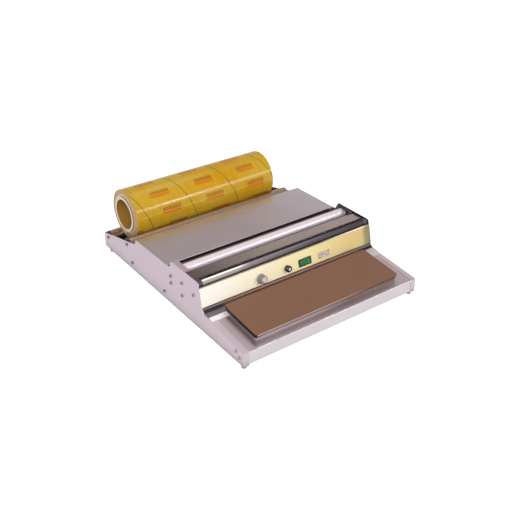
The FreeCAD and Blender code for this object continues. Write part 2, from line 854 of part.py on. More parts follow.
def guide_roller():
    """The chrome roller that the film runs over, on an axle between the inner brackets."""
    end = "Place.inner - Size.bracket_thick - Size.end_gap - Size.plug_flange"
    pieces = roller("guide_roller", "Size.guide_y", "Size.guide_z", "Size.guide_radius",
                    "Size.guide_wall", "Size.guide_axle", end)
    axle = ring("guide_roller_axle", "Size.guide_axle", None, "Place.inner * 2")
    put(axle, "0", "Size.guide_y", "Size.guide_z")
    return pieces + [axle]


def film():
    """The film wound on its card core, lying on the two carriers."""
    core = ring("film_core", "Size.core_radius", "Size.core_bore", "Size.core_length")
    roll = ring("film_roll", "Size.roll_radius", "Size.core_radius + Size.running_gap",
                "Size.roll_length")
    return [put(piece, "Size.roll_shift", "Place.roll_y", "Place.roll_z")
            for piece in (core, roll)]


# Cutter

def cutter():
    """A heated rod in a slippery sleeve, held at both ends in insulating blocks."""
    rod = ring("cutter_rod", "Size.cutter_core", None, "(Place.inner - Size.rod_inset) * 2")
    sleeve = ring("cutter_sleeve", "Size.cutter_radius", "Size.cutter_core",
                  "(Place.inner - Size.block_length - Size.edge_gap) * 2")
    for piece in (rod, sleeve):
        put(piece, "0", "Size.cutter_y", "Size.cutter_z")
    blocks = []
    front = "Place.face_top_y + Size.lip_width + Size.edge_gap"
    back = "Size.rest_front - Size.edge_gap"
    for side in (-1, 1):
        body = new_body(f"cutter_block_{side + 1}")
        sketch = new_sketch(body, f"block_outline_{side + 1}")
        draw_outline(sketch, [
            (front, "Size.trough_rise"),
            (back, "Size.trough_rise"),
            (back, "Size.rest_rise"),
            ("Size.cutter_y + Size.block_top / 2", "Size.cutter_z + Size.cutter_radius"),
            ("Size.cutter_y - Size.block_top / 2", "Size.cutter_z + Size.cutter_radius"),
            (front, "Size.cutter_z"),
        ])
        pad(body, sketch, "Size.block_length", back=side > 0)
        side_holes(body, [("Size.cutter_y", "Size.cutter_z")], "Size.cutter_core")
        blocks.append(put(body, f"{side} * Place.inner"))
    return [rod, sleeve, group("cutter_blocks", blocks)]


# Sealing plate

def plate_layer(name, width, inset, thick, out, radius):
    """One rounded layer of the sealing plate, parallel to the tray."""
    body = new_body(name)
    sketch = new_sketch(body, name + "_outline", "XY_Plane")
    draw_rectangle(sketch, "0", "Size.plate_depth / 2", width, f"Size.plate_depth - 2 * ({inset})")
    layer = pad(body, sketch, thick)

    def upright(edge):
        return abs(edge.tangentAt(edge.FirstParameter).z) > 0.99

    rounded = round_edges(body, layer, upright, radius)
    return on_tray(body, "0", "0", out), rounded


def sealing_plate():
    """Spacers, pan, insulation, heater, plate and slippery cover, from the tray upwards."""
    pan_low = "Size.standoff_rise"
    plate_low = "Size.standoff_rise + Size.pan_rise"
    pan, block = plate_layer("heater_pan", "Size.plate_width - 2 * Size.pan_inset",
                             "Size.pan_inset", "Size.pan_rise", pan_low, "Size.plate_round")
    hollow(pan, block, lambda face: face.normalAt(0, 0).z > 0.99, "Size.sheet")
    drill(pan, "XY_Plane", PLATE_SPOTS, SCREW_HOLE)
    inner_inset = "Size.pan_inset + Size.sheet + Size.mat_gap"
    inner_width = f"Size.plate_width - 2 * ({inner_inset})"
    felt_thick = "Size.pan_rise - Size.sheet - Size.heater_thick"
    felt, _ = plate_layer("insulation_mat", inner_width, inner_inset, felt_thick,
                          f"{pan_low} + Size.sheet", "Size.plate_round - Size.sheet")
    heater, _ = plate_layer("heater_mat", inner_width, inner_inset, "Size.heater_thick",
                            f"{plate_low} - Size.heater_thick", "Size.plate_round - Size.sheet")
    plate, _ = plate_layer("sealing_plate", "Size.plate_width", "0", "Size.plate_thick",
                           plate_low, "Size.plate_round")
    cover, _ = plate_layer("plate_cover", "Size.plate_width", "0", "Size.cover_thick",
                           f"{plate_low} + Size.plate_thick", "Size.plate_round")
    spacer = ring("standoff", "Size.standoff_radius", SCREW_HOLE, "Size.standoff_rise", "XY_Plane")
    fixing = screw("plate_screw", "Size.standoff_rise + 2 * Size.sheet")
    spacers = []
    screws = []
    for index, (x, along) in enumerate(PLATE_SPOTS):
        spacers.append(on_tray(link(spacer, f"standoff_{index}"), x, along,
                               "Size.standoff_rise / 2"))
        screws.append(on_tray(link(fixing, f"plate_screw_{index}"), x, along, "-Size.sheet"))
    return [pan, felt, heater, plate, cover, group("plate_standoffs", spacers),
            group("plate_screws", screws)]


# Controls

def temperature_knob():
    """A fluted knob with a pointer groove on its face, on the thermostat's shaft."""
    shaft_top = "Size.knob_rise - Size.knob_cap"
    skirt_top = "Size.knob_gap + Size.skirt_rise"
    body = turned("temperature_knob", [
        ("0", shaft_top),
        ("Size.shaft_radius", shaft_top),
        ("Size.shaft_radius", "Size.knob_gap"),
        ("Size.knob_skirt", "Size.knob_gap"),
        ("Size.knob_skirt", skirt_top),
        ("Size.knob_radius", f"{skirt_top} + Size.knob_edge"),
        ("Size.knob_radius - Size.knob_edge", "Size.knob_rise - Size.knob_edge"),
        ("Size.knob_radius - 2 * Size.knob_edge", "Size.knob_rise"),
        ("0", "Size.knob_rise"),
    ])
    doc.recompute()
    flute = new_sketch(body, "knob_flute", "XY_Plane", f"{skirt_top} + Size.knob_edge")
    draw_circle(flute, "Size.knob_radius + Size.flute_out", "0", "Size.flute_radius")
    cut = pocket(body, flute, "Size.knob_rise", back=True)
    pattern = body.newObject("PartDesign::PolarPattern", "Flutes")
    pattern.Originals = [cut]
    pattern.Axis = (flute, ["N_Axis"])
    pattern.Angle = 360
    pattern.Occurrences = 14
    body.Tip = pattern
    doc.recompute()
    pointer = new_sketch(body, "knob_pointer", "XY_Plane", "Size.knob_rise")
    draw_rectangle(pointer, "0", "Size.knob_radius / 2", "Size.pointer_width",
                   "Size.knob_radius - 3 * Size.knob_edge")
    pocket(body, pointer, "Size.pointer_depth")
    shaft = turned("thermostat_shaft", [
        ("0", "-Size.shaft_depth"),
        ("Size.shaft_radius", "-Size.shaft_depth"),
        ("Size.shaft_radius", shaft_top),
        ("0", shaft_top),
    ])
    on_face(body, "Size.knob_x", "Size.label_thick")
    on_face(shaft, "Size.knob_x", "Size.label_thick")
    return [body, shaft]


def thermostat_body():
    """The thermostat behind the face, with a bush through it that guides the shaft."""
    bore = "Size.shaft_radius + Size.running_gap"
    bush = "Size.shaft_radius + Size.bush_wall"
    bush_top = "Size.label_thick - Size.screw_gap"
    body = turned("thermostat_body", [
        (bore, "-Size.shaft_depth"),
        ("0", "-Size.shaft_depth"),
        ("0", "-Size.thermostat_depth"),
        ("Size.thermostat_radius - Size.knob_edge", "-Size.thermostat_depth"),
        ("Size.thermostat_radius", "-Size.thermostat_depth + Size.knob_edge"),
        ("Size.thermostat_radius", "-Size.sheet"),
        (bush, "-Size.sheet"),
        (bush, bush_top),
        (bore, bush_top),
    ])
    return on_face(body, "Size.knob_x")


def fuse_set():
    """A panel fuse holder with its nut, twist cap and glass fuse."""
    outer = "Size.fuse_bore + Size.fuse_wall"
    seat = "Size.label_thick"
    flange = f"{seat} + Size.fuse_flange"
    bottom = "-Size.fuse_depth + Size.fuse_wall"
    rim = "Size.fuse_cap_radius - Size.fuse_flange / 2"
    holder = turned("fuse_holder", [
        ("0", "-Size.fuse_depth"),
        (outer, "-Size.fuse_depth"),
        (outer, seat),
        (rim, seat),
        (rim, flange),
        ("Size.fuse_bore", flange),
        ("Size.fuse_bore", bottom),
        ("0", bottom),
    ])
    nut_low = "-Size.sheet - Size.fuse_nut_rise"
    nut = turned("fuse_nut", [
        (outer, nut_low),
        (f"{outer} + Size.fuse_nut_width", nut_low),
        (f"{outer} + Size.fuse_nut_width", "-Size.sheet"),
        (outer, "-Size.sheet"),
    ])
    stem = "Size.fuse_bore - Size.running_gap"
    cap_low = f"{flange} + Size.edge_gap"
    cap_top = f"{cap_low} + Size.cap_rise"
    cap = turned("fuse_cap", [
        ("0", "-Size.cap_stem"),
        (stem, "-Size.cap_stem"),
        (stem, cap_low),
        ("Size.fuse_cap_radius", cap_low),
        ("Size.fuse_cap_radius", f"{cap_top} - Size.cap_edge"),
        ("Size.fuse_cap_radius - Size.cap_edge", cap_top),
        ("0", cap_top),
    ])
    doc.recompute()
    slot = new_sketch(cap, "cap_slot", "XY_Plane", cap_top)
    draw_rectangle(slot, "0", "0", "Size.fuse_cap_radius * 2", "Size.slot_width")
    pocket(cap, slot, "Size.slot_width")
    glass = turned("fuse_link", [
        ("0", bottom),
        ("Size.glass_radius", bottom),
        ("Size.glass_radius", "-Size.cap_stem"),
        ("0", "-Size.cap_stem"),
    ])
    return [on_face(piece, "Size.fuse_x") for piece in (holder, nut, cap, glass)]


def power_switch():
    """A rocker switch: a bezelled housing through the face and a rocker on its pivots."""
    rim = "2 * Size.switch_flange"
    top = "Size.label_thick + Size.bezel_rise"
    housing = new_body("switch_housing")
    shell = new_sketch(housing, "switch_shell", "XY_Plane", "-Size.switch_depth")
    draw_rectangle(shell, "0", "0", f"Size.switch_width - {rim}", f"Size.switch_rise - {rim}")
    pad(housing, shell, "Size.switch_depth + Size.label_thick")
    bezel = new_sketch(housing, "switch_bezel", "XY_Plane", "Size.label_thick")
    draw_rectangle(bezel, "0", "0", "Size.switch_width", "Size.switch_rise")
    pad(housing, bezel, "Size.bezel_rise")
    doc.recompute()
    mouth = new_sketch(housing, "switch_mouth", "XY_Plane", top)
    draw_rectangle(mouth, "0", "0", "Size.rocker_width + 2 * Size.rocker_side_gap",
                   "Size.rocker_rise + 2 * Size.rocker_end_gap")
    pocket(housing, mouth, "Size.rocker_room")
    seat = new_sketch(housing, "switch_pivots", "XZ_Plane")
    draw_circle(seat, "0", "Size.label_thick", "Size.pivot_radius + Size.running_gap")
    pocket(housing, seat, "Size.rocker_rise + 2 * (Size.pivot_reach + Size.running_gap)",
           both=True)
    rocker = new_body("switch_rocker")
    side = new_sketch(rocker, "rocker_side", "XZ_Plane")
    side.AttachmentOffset = FreeCAD.Placement(
        FreeCAD.Vector(), FreeCAD.Rotation(FreeCAD.Vector(0, 0, 1), value("Size.rocker_tilt")))
    side.setExpression("AttachmentOffset.Rotation.Angle", "Size.rocker_tilt")
    half = "Size.rocker_width / 2"
    draw_outline(side, [
        (f"-{half}", "Size.rocker_crown"),
        (f"-{half} + Size.rocker_side_gap", "-1"),
        ("-Size.rocker_keel_half", "-Size.rocker_keel"),
        ("Size.rocker_keel_half", "-Size.rocker_keel"),
        (f"{half} - Size.rocker_side_gap", "-1"),
        (half, "Size.rocker_crown"),
        ("0", "Size.rocker_dip"),
    ])
    pad(rocker, side, "Size.rocker_rise", both=True)
    pivot = new_sketch(rocker, "rocker_pivot", "XZ_Plane")
    draw_circle(pivot, "0", "0", "Size.pivot_radius")
    pad(rocker, pivot, "Size.rocker_rise + 2 * Size.pivot_reach", both=True)
    on_face(housing, "Size.switch_x")
    on_face(rocker, "Size.switch_x", "Size.label_thick")
    return [housing, rocker]


# Electrics bay

def transformer():
    """The transformer that feeds the cutter rod: a laminated core round a wound coil."""
    middle = "(Place.shelf_y + Size.wall_back + Size.rest_back) / 2"
    centre = "Place.floor + Size.core_rise / 2"
    x = "-(Size.width / 2 - Size.transformer_inset)"
    core = new_body("transformer_core")
    sketch = new_sketch(core, "core_outline", "XZ_Plane")
    draw_rectangle(sketch, "0", "0", "Size.core_width", "Size.core_rise")
    window = "(Size.core_width - 4 * Size.core_limb) / 2"
    for side in (-1, 1):
        draw_rectangle(sketch, f"{side} * (Size.core_limb + ({window}) / 2)", "0", window,
                       "Size.core_rise - 2 * Size.core_limb")
    pad(core, sketch, "Size.core_depth", both=True)
    coil = new_body("transformer_coil")
    turns = new_sketch(coil, "coil_outline", "XY_Plane")
    draw_rectangle(turns, "0", "0", "2 * Size.core_limb + 2 * Size.coil_thick",
                   "Size.core_depth + 2 * Size.coil_thick")
    draw_rectangle(turns, "0", "0", "2 * Size.core_limb + Size.coil_gap",
                   "Size.core_depth + Size.coil_gap")
    pad(coil, turns, "Size.core_rise - 2 * Size.core_limb - Size.coil_gap", both=True)
    return [put(piece, x, middle, centre) for piece in (core, coil)]


def terminal_block():
    """A row of screw terminals on the base plate."""
    body = new_body("terminal_block")
    sketch = new_sketch(body, "terminal_outline", "XY_Plane")
    draw_rectangle(sketch, "0", "0", "Size.terminal_width", "Size.terminal_depth")
    pad(body, sketch, "Size.terminal_rise")
    doc.recompute()
    wells = new_sketch(body, "terminal_wells", "XY_Plane", "Size.terminal_rise")
    for index in range(-2, 3):
        draw_circle(wells, f"{index} * Size.well_pitch", "0", "Size.well_radius")
    pocket(body, wells, "Size.well_depth")
    return put(body, "Size.width / 2 - Size.terminal_inset", "Size.rest_front", "Place.floor")


def cable_grommet():
    """A bush in the right panel where the mains lead would enter."""
    body = turned("cable_grommet", [
        ("Size.grommet_bore", "-Size.grommet_depth"),
        ("Size.grommet_radius", "-Size.grommet_depth"),
        ("Size.grommet_radius", "0"),
        ("Size.grommet_radius + Size.grommet_flange", "0"),
        ("Size.grommet_radius + Size.grommet_flange / 2", "Size.head_rise"),
        ("Size.grommet_bore", "Size.head_rise"),
    ])
    return put(body, "Size.width / 2", "Size.grommet_y", "Size.grommet_z", (0, 1, 0), "90")


# Feet and fasteners

def screw(name, length):
    """A pan-head screw about its own z axis, its head below and its shank rising."""
    return turned(name, [
        ("0", "-Size.head_rise"),
        ("Size.head_radius - Size.head_edge", "-Size.head_rise"),
        ("Size.head_radius", "-Size.head_rise + Size.head_edge"),
        ("Size.head_radius", "0"),
        ("Size.screw_radius", "0"),
        ("Size.screw_radius", length),
        ("0", length),
    ])


def feet():
    """Four rubber feet under the panels' bottom flanges, each with a screw in its well."""
    drop = "Size.foot_rise"
    well = "Size.head_radius + Size.foot_well_gap"
    seat = f"-{drop} + Size.head_rise + Size.foot_well_extra"
    foot = turned("rubber_foot", [
        (SCREW_HOLE, "0"),
        ("Size.foot_radius", "0"),
        ("Size.foot_radius - Size.foot_taper", f"-{drop}"),
        (well, f"-{drop}"),
        (well, seat),
        (SCREW_HOLE, seat),
    ])
    fixing = screw("foot_screw", "Size.foot_rise - Size.head_rise + Size.screw_end")
    soles = []
    screws = []
    for index, (x, y) in enumerate(FOOT_SPOTS):
        soles.append(put(link(foot, f"rubber_foot_{index}"), x, y))
        screws.append(put(link(fixing, f"foot_screw_{index}"), x, y, seat))
    return [group("rubber_feet", soles), group("foot_screws", screws)]


def base_screws():
    """Screws from below, through the panels' flanges and the base plate."""
    fixing = screw("base_screw", "2 * Size.sheet + Size.screw_end")
    copies = [put(link(fixing, f"base_screw_{index}"), x, y, "0")
              for index, (x, y) in enumerate(BASE_SPOTS)]
    return group("base_screws", copies)


def side_screws():
    master = screw("side_screw", "Size.screw_length")
    groups = []
    for name, side in (("side_screws_left", -1), ("side_screws_right", 1)):
        copies = []
        for index, (y, z) in enumerate(ALL_SCREWS):
            copy = link(master, f"{name}_{index}")
            copies.append(put(copy, f"{side} * Size.width / 2", y, z, (0, 1, 0),
                              f"{-side} * 90"))
        groups.append(group(name, copies))
    return groups


def finish(parts):
    """Check every object and write each sub-part."""
    doc.recompute()
    for item in doc.Objects:
        if "Invalid" in item.State or "Error" in item.State:
            raise ValueError(f"{item.Label} failed: {item.State}")
    os.makedirs("parts", exist_ok=True)
    for item in parts:
        if item.Shape.isNull() or not item.Shape.isValid():
            raise ValueError(f"{item.Label} has no valid shape")
        item.Shape.exportStep(os.path.join("parts", item.Label + ".step"))


finish([
    side_panel("side_panel_left", -1),
    side_panel("side_panel_right", 1),
    base_plate(),
    base_tray(),
    rear_rail(),
    cross_bar("cross_bar_front", "Size.bar_front", SIDE_SCREWS["bars"][0]),
    cross_bar("cross_bar_rear", "Place.bar_rear", SIDE_SCREWS["bars"][1]),
    deck_plate(),
    console_cover(),
    control_panel(),
    film_rest(),
    roller_bracket("roller_bracket_left", -1),
    roller_bracket("roller_bracket_right", 1),
    *guide_roller(),
    *carrier("carrier_front", "Size.carrier_front_y", "Size.carrier_front_z"),
    *carrier("carrier_rear", "Size.carrier_rear_y", "Size.carrier_rear_z"),
    *film(),
    *cutter(),
    *sealing_plate(),
    *temperature_knob(),
    thermostat_body(),
    *fuse_set(),
    *power_switch(),
    *transformer(),
    terminal_block(),
    cable_grommet(),
    *feet(),
    base_screws(),
    *side_screws(),
])
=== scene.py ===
import json
import math

import bmesh
import bpy
from mathutils import Matrix, Vector
from mathutils.bvhtree import BVHTree


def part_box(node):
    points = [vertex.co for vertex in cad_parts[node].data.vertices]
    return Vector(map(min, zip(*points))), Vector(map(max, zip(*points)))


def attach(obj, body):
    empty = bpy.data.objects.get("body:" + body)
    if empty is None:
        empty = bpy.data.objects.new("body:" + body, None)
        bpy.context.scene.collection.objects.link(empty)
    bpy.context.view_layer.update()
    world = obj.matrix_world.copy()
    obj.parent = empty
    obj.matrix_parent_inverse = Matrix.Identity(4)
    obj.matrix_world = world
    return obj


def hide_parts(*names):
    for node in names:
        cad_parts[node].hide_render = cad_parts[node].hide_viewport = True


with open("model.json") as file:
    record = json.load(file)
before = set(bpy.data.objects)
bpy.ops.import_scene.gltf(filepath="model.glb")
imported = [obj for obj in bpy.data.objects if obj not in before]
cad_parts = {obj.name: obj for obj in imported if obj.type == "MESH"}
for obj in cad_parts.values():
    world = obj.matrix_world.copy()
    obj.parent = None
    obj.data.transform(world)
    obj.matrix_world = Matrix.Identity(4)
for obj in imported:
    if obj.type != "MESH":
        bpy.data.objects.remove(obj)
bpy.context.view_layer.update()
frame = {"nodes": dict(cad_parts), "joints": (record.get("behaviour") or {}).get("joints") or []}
NODES = frame["nodes"]
JOINTS = {joint["name"]: joint for joint in frame["joints"]}
scene = bpy.context.scene
scene.view_settings.view_transform = "Standard"

MM = 0.001
ROLL = Vector(JOINTS["film_roll_spin"]["pos_m"])
KNOB = Vector(JOINTS["temperature_turn"]["pos_m"])
FUSE = Vector(JOINTS["fuse_cap_twist"]["pos_m"])
SWITCH = Vector(JOINTS["switch_tilt"]["pos_m"])

# The control plate's directions out of it, along it and up it, and how far out its face lies
OUT = Vector(JOINTS["temperature_turn"]["axis"]).normalized()
ALONG = Vector((1, 0, 0))
UP = Vector((0, OUT.z, -OUT.y))
FACE_OUT = max(vertex.co.dot(OUT) for vertex in NODES["control_panel"].data.vertices)


# Camera

EYE = Vector((-0.97199, -1.30400, 1.01235))
AIM = Vector((0.02548, 0.10921, 0.008))


def put(name, data, place, aim):
    """A camera or lamp at a place, turned towards its aim."""
    made = bpy.data.objects.new(name, data)
    scene.collection.objects.link(made)
    made.location = place
    made.rotation_mode = "QUATERNION"
    made.rotation_quaternion = (Vector(aim) - Vector(place)).to_track_quat("-Z", "Y")
    return made


camera_data = bpy.data.cameras.new("camera")
camera_data.sensor_width = 36
camera_data.lens = 54.46
camera_data.shift_x = 0.0493
camera_data.shift_y = -0.0294
scene.camera = put("camera", camera_data, EYE, AIM)


# Node helpers

# Sockets of a Mix node that mixes colours
MIX_SHARE, MIX_FIRST, MIX_SECOND, MIX_RESULT = 0, 6, 7, 2
SMUDGE_SCALE = (11, 13, 12)
GRAIN_HEIGHT = 0.4 * MM


def add(tree, kind, inputs=None, **settings):
    """A shader node with its settings and inputs; a socket given as an input is linked."""
    node = tree.nodes.new(kind)
    for name, value in settings.items():
        setattr(node, name, value)
    for name, value in (inputs or {}).items():
        if isinstance(value, bpy.types.NodeSocket):
            tree.links.new(value, node.inputs[name])
        else:
            node.inputs[name].default_value = value
    return node


def calc(tree, operation, first, second=0.0, third=0.0, clamp=False):
    """The result of a Math node on numbers or sockets."""
    return add(tree, "ShaderNodeMath", {0: first, 1: second, 2: third},
               operation=operation, use_clamp=clamp).outputs[0]


def vector_calc(tree, operation, first, second=(0, 0, 0), output="Vector"):
    """The result of a Vector Math node."""
    return add(tree, "ShaderNodeVectorMath", {0: first, 1: second},
               operation=operation).outputs[output]


def product(tree, first, *others):
    """The first value times each of the others in turn; for 0 and 1, where all are 1."""
    for other in others:
        first = calc(tree, "MULTIPLY", first, other)
    return first


def above(tree, value, limit):
    """1 where the value is over the limit, or else 0."""
    return calc(tree, "GREATER_THAN", value, limit)


def below(tree, value, limit):
    """1 where the value is under the limit, or else 0."""
    return calc(tree, "LESS_THAN", value, limit)


def within(tree, value, middle, reach):
    """1 where the value is within reach of the middle, or else 0."""
    return calc(tree, "COMPARE", value, middle, reach)


def mix(tree, share, first, second, blend="MIX"):
    """A share of the way from one colour to another, each given as a tuple or a socket."""
    inputs = {MIX_SHARE: share}
    for index, colour in ((MIX_FIRST, first), (MIX_SECOND, second)):
        inputs[index] = (*colour, 1) if isinstance(colour, tuple) else colour
    return add(tree, "ShaderNodeMix", inputs,
               data_type="RGBA", blend_type=blend).outputs[MIX_RESULT]


def spread(tree, value, low, high, start=0.0, end=1.0):
    """A value between start and end carried over to low to high."""
    return add(tree, "ShaderNodeMapRange", {"Value": value, "From Min": start, "From Max": end,
                                            "To Min": low, "To Max": high}).outputs[0]


def ramp(tree, value, stops):
    """Colours at their stops along a value from 0 to 1."""
    node = add(tree, "ShaderNodeValToRGB", {"Fac": value})
    elements = node.color_ramp.elements
    while len(elements) < len(stops):
        elements.new(0.5)
    for element, (position, colour) in zip(elements, stops):
        element.position = position
        element.color = (*colour, 1)
    return node.outputs["Color"]


def object_place(tree):
    """The place on the object, in metres; for a CAD node it is the frame's own."""
    return add(tree, "ShaderNodeTexCoord").outputs["Object"]


def object_xyz(tree):
    return add(tree, "ShaderNodeSeparateXYZ", {0: object_place(tree)}).outputs


def progress(tree, axis, start, end):
    """How far a place has come from start to end along an axis, from 0 to 1."""
    return spread(tree, object_xyz(tree)[axis], 0.0, 1.0, start, end)


def normal_xyz(tree):
    normal = add(tree, "ShaderNodeNewGeometry").outputs["Normal"]
    return add(tree, "ShaderNodeSeparateXYZ", {0: normal}).outputs


def noise(tree, scale, detail=3.0):
    """Noise over the object's own coordinates, stretched by a scale for each axis."""
    mapping = add(tree, "ShaderNodeMapping", {"Vector": object_place(tree), "Scale": scale})
    return add(tree, "ShaderNodeTexNoise", {"Vector": mapping.outputs[0], "Scale": 1.0,
                                            "Detail": detail}).outputs["Fac"]


def surface(name, paint, rough, metal, grain, depth, tint, uneven=0.08, smudge=0.05,
            relief=None, **sockets):
    """A material with grain, uneven gloss and faint handling marks.

    The paint is a colour, or a function that builds one in the material's node tree.
    """
    material = bpy.data.materials.new(name)
    material.use_nodes = True
    tree = material.node_tree
    shader = tree.nodes["Principled BSDF"]
    fine = noise(tree, grain)
    broad = noise(tree, SMUDGE_SCALE, detail=4)
    shade = product(tree, spread(tree, fine, 1 - tint, 1 + tint),
                    spread(tree, broad, 1 - tint, 1 + tint))
    grey = add(tree, "ShaderNodeCombineColor", {0: shade, 1: shade, 2: shade}).outputs[0]
    base = paint(tree) if callable(paint) else paint
    tree.links.new(mix(tree, 1.0, base, grey, "MULTIPLY"), shader.inputs["Base Color"])
    gloss = calc(tree, "ADD", spread(tree, fine, -uneven, uneven),
                 spread(tree, broad, -smudge, smudge))
    tree.links.new(calc(tree, "ADD", gloss, rough, clamp=True), shader.inputs["Roughness"])
    height = relief(tree, fine) if relief else fine
    bump = add(tree, "ShaderNodeBump",
               {"Strength": depth, "Distance": GRAIN_HEIGHT, "Height": height})
    tree.links.new(bump.outputs[0], shader.inputs["Normal"])
    shader.inputs["Metallic"].default_value = metal
    for socket, value in sockets.items():
        shader.inputs[socket.replace("_", " ")].default_value = value
    return material


def dress(material, *names):
    """Puts a material on CAD nodes."""
    for name in names:
        data = NODES[name].data
        data.materials.clear()
        data.materials.append(material)


# Patterns: cloth, film and card

WEAVE_PITCH = 0.7 * MM

# The print: columns along the roll by pitch in m, rows round it by share of a turn
PRINT_PITCH = 0.127
PRINT_ROW = 42.5 / 360
PRINT_START = 0.418
# Whole pitches that keep the count of columns over 0
FIRST_PITCH = 8.0
# A block's middle and half in pitches, and its print's middle and half in rows
BLOCK_MIDDLE, BLOCK_HALF = 0.56, 0.205
ROW_MIDDLE, ROW_HALF = 0.5, 0.2
# Bars fill a row's block down to here, and below them it is solid
BARS_END = 0.52
BARS_ACROSS, BAR_GAP = 9.0, 0.2
BARS_DOWN, BAR_HALF = 12.0, 0.33
# A thin line past each column: where one passes, its skew in m for a turn, its place in pitches
LINE_X = -0.201
LINE_TURN = 216 / 360
LINE_SKEW = 0.46 * MM * 360
LINE_MIDDLE, LINE_HALF = 0.013, 0.012

# The end face of the film turns golden between these radii
GOLDEN_RIM = (0.0465, 0.0525)
# The card's seams: turns in a metre, and their share of a turn
SEAM_TURNS, SEAM_WIDTH = 9.0, 0.03


def weave(tree, fine):
    """Plain weave: two crossed waves, one over the other."""
    x, y, _ = object_xyz(tree)
    rate = 1 / WEAVE_PITCH * math.tau
    across = calc(tree, "SINE", product(tree, x, rate))
    down = calc(tree, "SINE", product(tree, y, rate))
    return calc(tree, "ADD", product(tree, across, down), fine)


def off_axis(tree):
    """A place on the roll: along its axis, and from the axis to the rear and up."""
    x, y, z = object_xyz(tree)
    return x, calc(tree, "SUBTRACT", y, ROLL.y), calc(tree, "SUBTRACT", z, ROLL.z)


def turn_round(tree, away, rise):
    """The share of a turn round the roll, from 0 below it over the rear and top to the front."""
    share = calc(tree, "DIVIDE", calc(tree, "ARCTAN2", rise, away), math.tau)
    return calc(tree, "FRACT", calc(tree, "ADD", share, 0.25))


def print_column(tree, x, turn):
    """How many pitches x lies past a skewed line that runs round the roll."""
    skew = product(tree, calc(tree, "SUBTRACT", turn, LINE_TURN), LINE_SKEW)
    past = calc(tree, "SUBTRACT", calc(tree, "SUBTRACT", x, LINE_X), skew)
    return calc(tree, "ADD", calc(tree, "DIVIDE", past, PRINT_PITCH), FIRST_PITCH)


def film_print(tree, x, turn):
    """Where the line runs, where blocks are solid and where they are of bars, each 0 or 1."""
    row = calc(tree, "ADD", calc(tree, "DIVIDE", turn, PRINT_ROW), PRINT_START)
    level = calc(tree, "ADD", calc(tree, "FLOOR", row), ROW_MIDDLE - PRINT_START)
    across = calc(tree, "FRACT", print_column(tree, x, product(tree, level, PRINT_ROW)))
    down = calc(tree, "FRACT", row)
    inside = product(tree, within(tree, across, BLOCK_MIDDLE, BLOCK_HALF),
                     within(tree, down, ROW_MIDDLE, ROW_HALF))
    run = spread(tree, across, 0.0, BARS_ACROSS,
                 BLOCK_MIDDLE - BLOCK_HALF, BLOCK_MIDDLE + BLOCK_HALF)
    step = calc(tree, "FRACT", product(tree, down, BARS_DOWN))
    bar = product(tree, above(tree, calc(tree, "FRACT", run), BAR_GAP),
                  within(tree, step, 0.5, BAR_HALF))
    upper = below(tree, down, BARS_END)
    line = within(tree, calc(tree, "FRACT", print_column(tree, x, turn)),
                  LINE_MIDDLE, LINE_HALF)
    solid = product(tree, calc(tree, "SUBTRACT", 1.0, upper), inside)
    return line, solid, product(tree, upper, bar, inside)


def looks_sideways(tree, limit):
    """1 where the surface faces left or right by more than the limit, or else 0."""
    return above(tree, calc(tree, "ABSOLUTE", normal_xyz(tree)[0]), limit)


def wound_film(tree):
    """Golden film with blocks of printed bars in skewed rows, lines between them, pale ends."""
    x, away, rise = off_axis(tree)
    line, solid, bars = film_print(tree, x, turn_round(tree, away, rise))
    layers = noise(tree, (120, 3, 3), detail=2)
    patches = noise(tree, (9, 14, 14), detail=2)
    gold = ramp(tree, layers, [(0.2, (0.50, 0.245, 0.003)), (0.55, (0.58, 0.305, 0.006)),
                               (0.85, (0.60, 0.355, 0.018))])
    gold = mix(tree, spread(tree, patches, 0.0, 0.6, 0.35, 0.65), gold, (0.56, 0.40, 0.045))
    for where, strength, colour in ((line, 0.75, (0.19, 0.145, 0.022)),
                                    (solid, 0.75, (0.66, 0.135, 0.006)),
                                    (bars, 0.85, (0.22, 0.028, 0.006))):
        gold = mix(tree, product(tree, where, strength), gold, colour)
    wound = noise(tree, (1, 900, 900), detail=1)
    pale = ramp(tree, wound, [(0.3, (0.90, 0.70, 0.60)), (0.7, (0.96, 0.82, 0.75))])
    radius = calc(tree, "SQRT", calc(tree, "ADD", product(tree, rise, rise),
                                     product(tree, away, away)))
    face = mix(tree, spread(tree, radius, 0.0, 1.0, *GOLDEN_RIM), pale, (0.58, 0.39, 0.13))
    return mix(tree, looks_sideways(tree, 0.6), gold, face)


def wound_card(tree):
    """Card tube: pale cut ends, brown inside with spiral seams."""
    x, away, rise = off_axis(tree)
    spiral = calc(tree, "ADD", product(tree, x, SEAM_TURNS), turn_round(tree, away, rise))
    seam = below(tree, calc(tree, "FRACT", spiral), SEAM_WIDTH)
    inside = mix(tree, seam, (0.42, 0.22, 0.028), (0.26, 0.13, 0.02))
    return mix(tree, looks_sideways(tree, 0.6), inside, (0.96, 0.86, 0.80))


# Patterns: controls and front plate

KNOB_RADIUS = 11.5 * MM
# Radius of the pale disc painted on the fuse cap as a highlight
CAP_HIGHLIGHT_RADIUS = 3.4 * MM
POINTER = -(ALONG + UP).normalized()
# Strokes on a control: their middle from its centre, half their length and half their width
POINTER_STROKE = (4.4 * MM, 2.1 * MM, 0.55 * MM)
SLOT_STROKE = (0.0, 2.7 * MM, 0.4 * MM)


def control_face(tree, centre, mark, middle, half_length, half_width):
    """The radius round a control's centre, and 1 on a stroke along a mark, or else 0."""
    arm = vector_calc(tree, "SUBTRACT", object_place(tree), centre)
    radius = vector_calc(tree, "LENGTH", vector_calc(tree, "CROSS_PRODUCT", arm, OUT),
                         output="Value")
    along = vector_calc(tree, "DOT_PRODUCT", arm, mark, "Value")
    beside = vector_calc(tree, "DOT_PRODUCT", arm, mark.cross(OUT), "Value")
    stroke = product(tree, below(tree, calc(tree, "ABSOLUTE", beside), half_width),
                     within(tree, along, middle, half_length))
    return radius, stroke


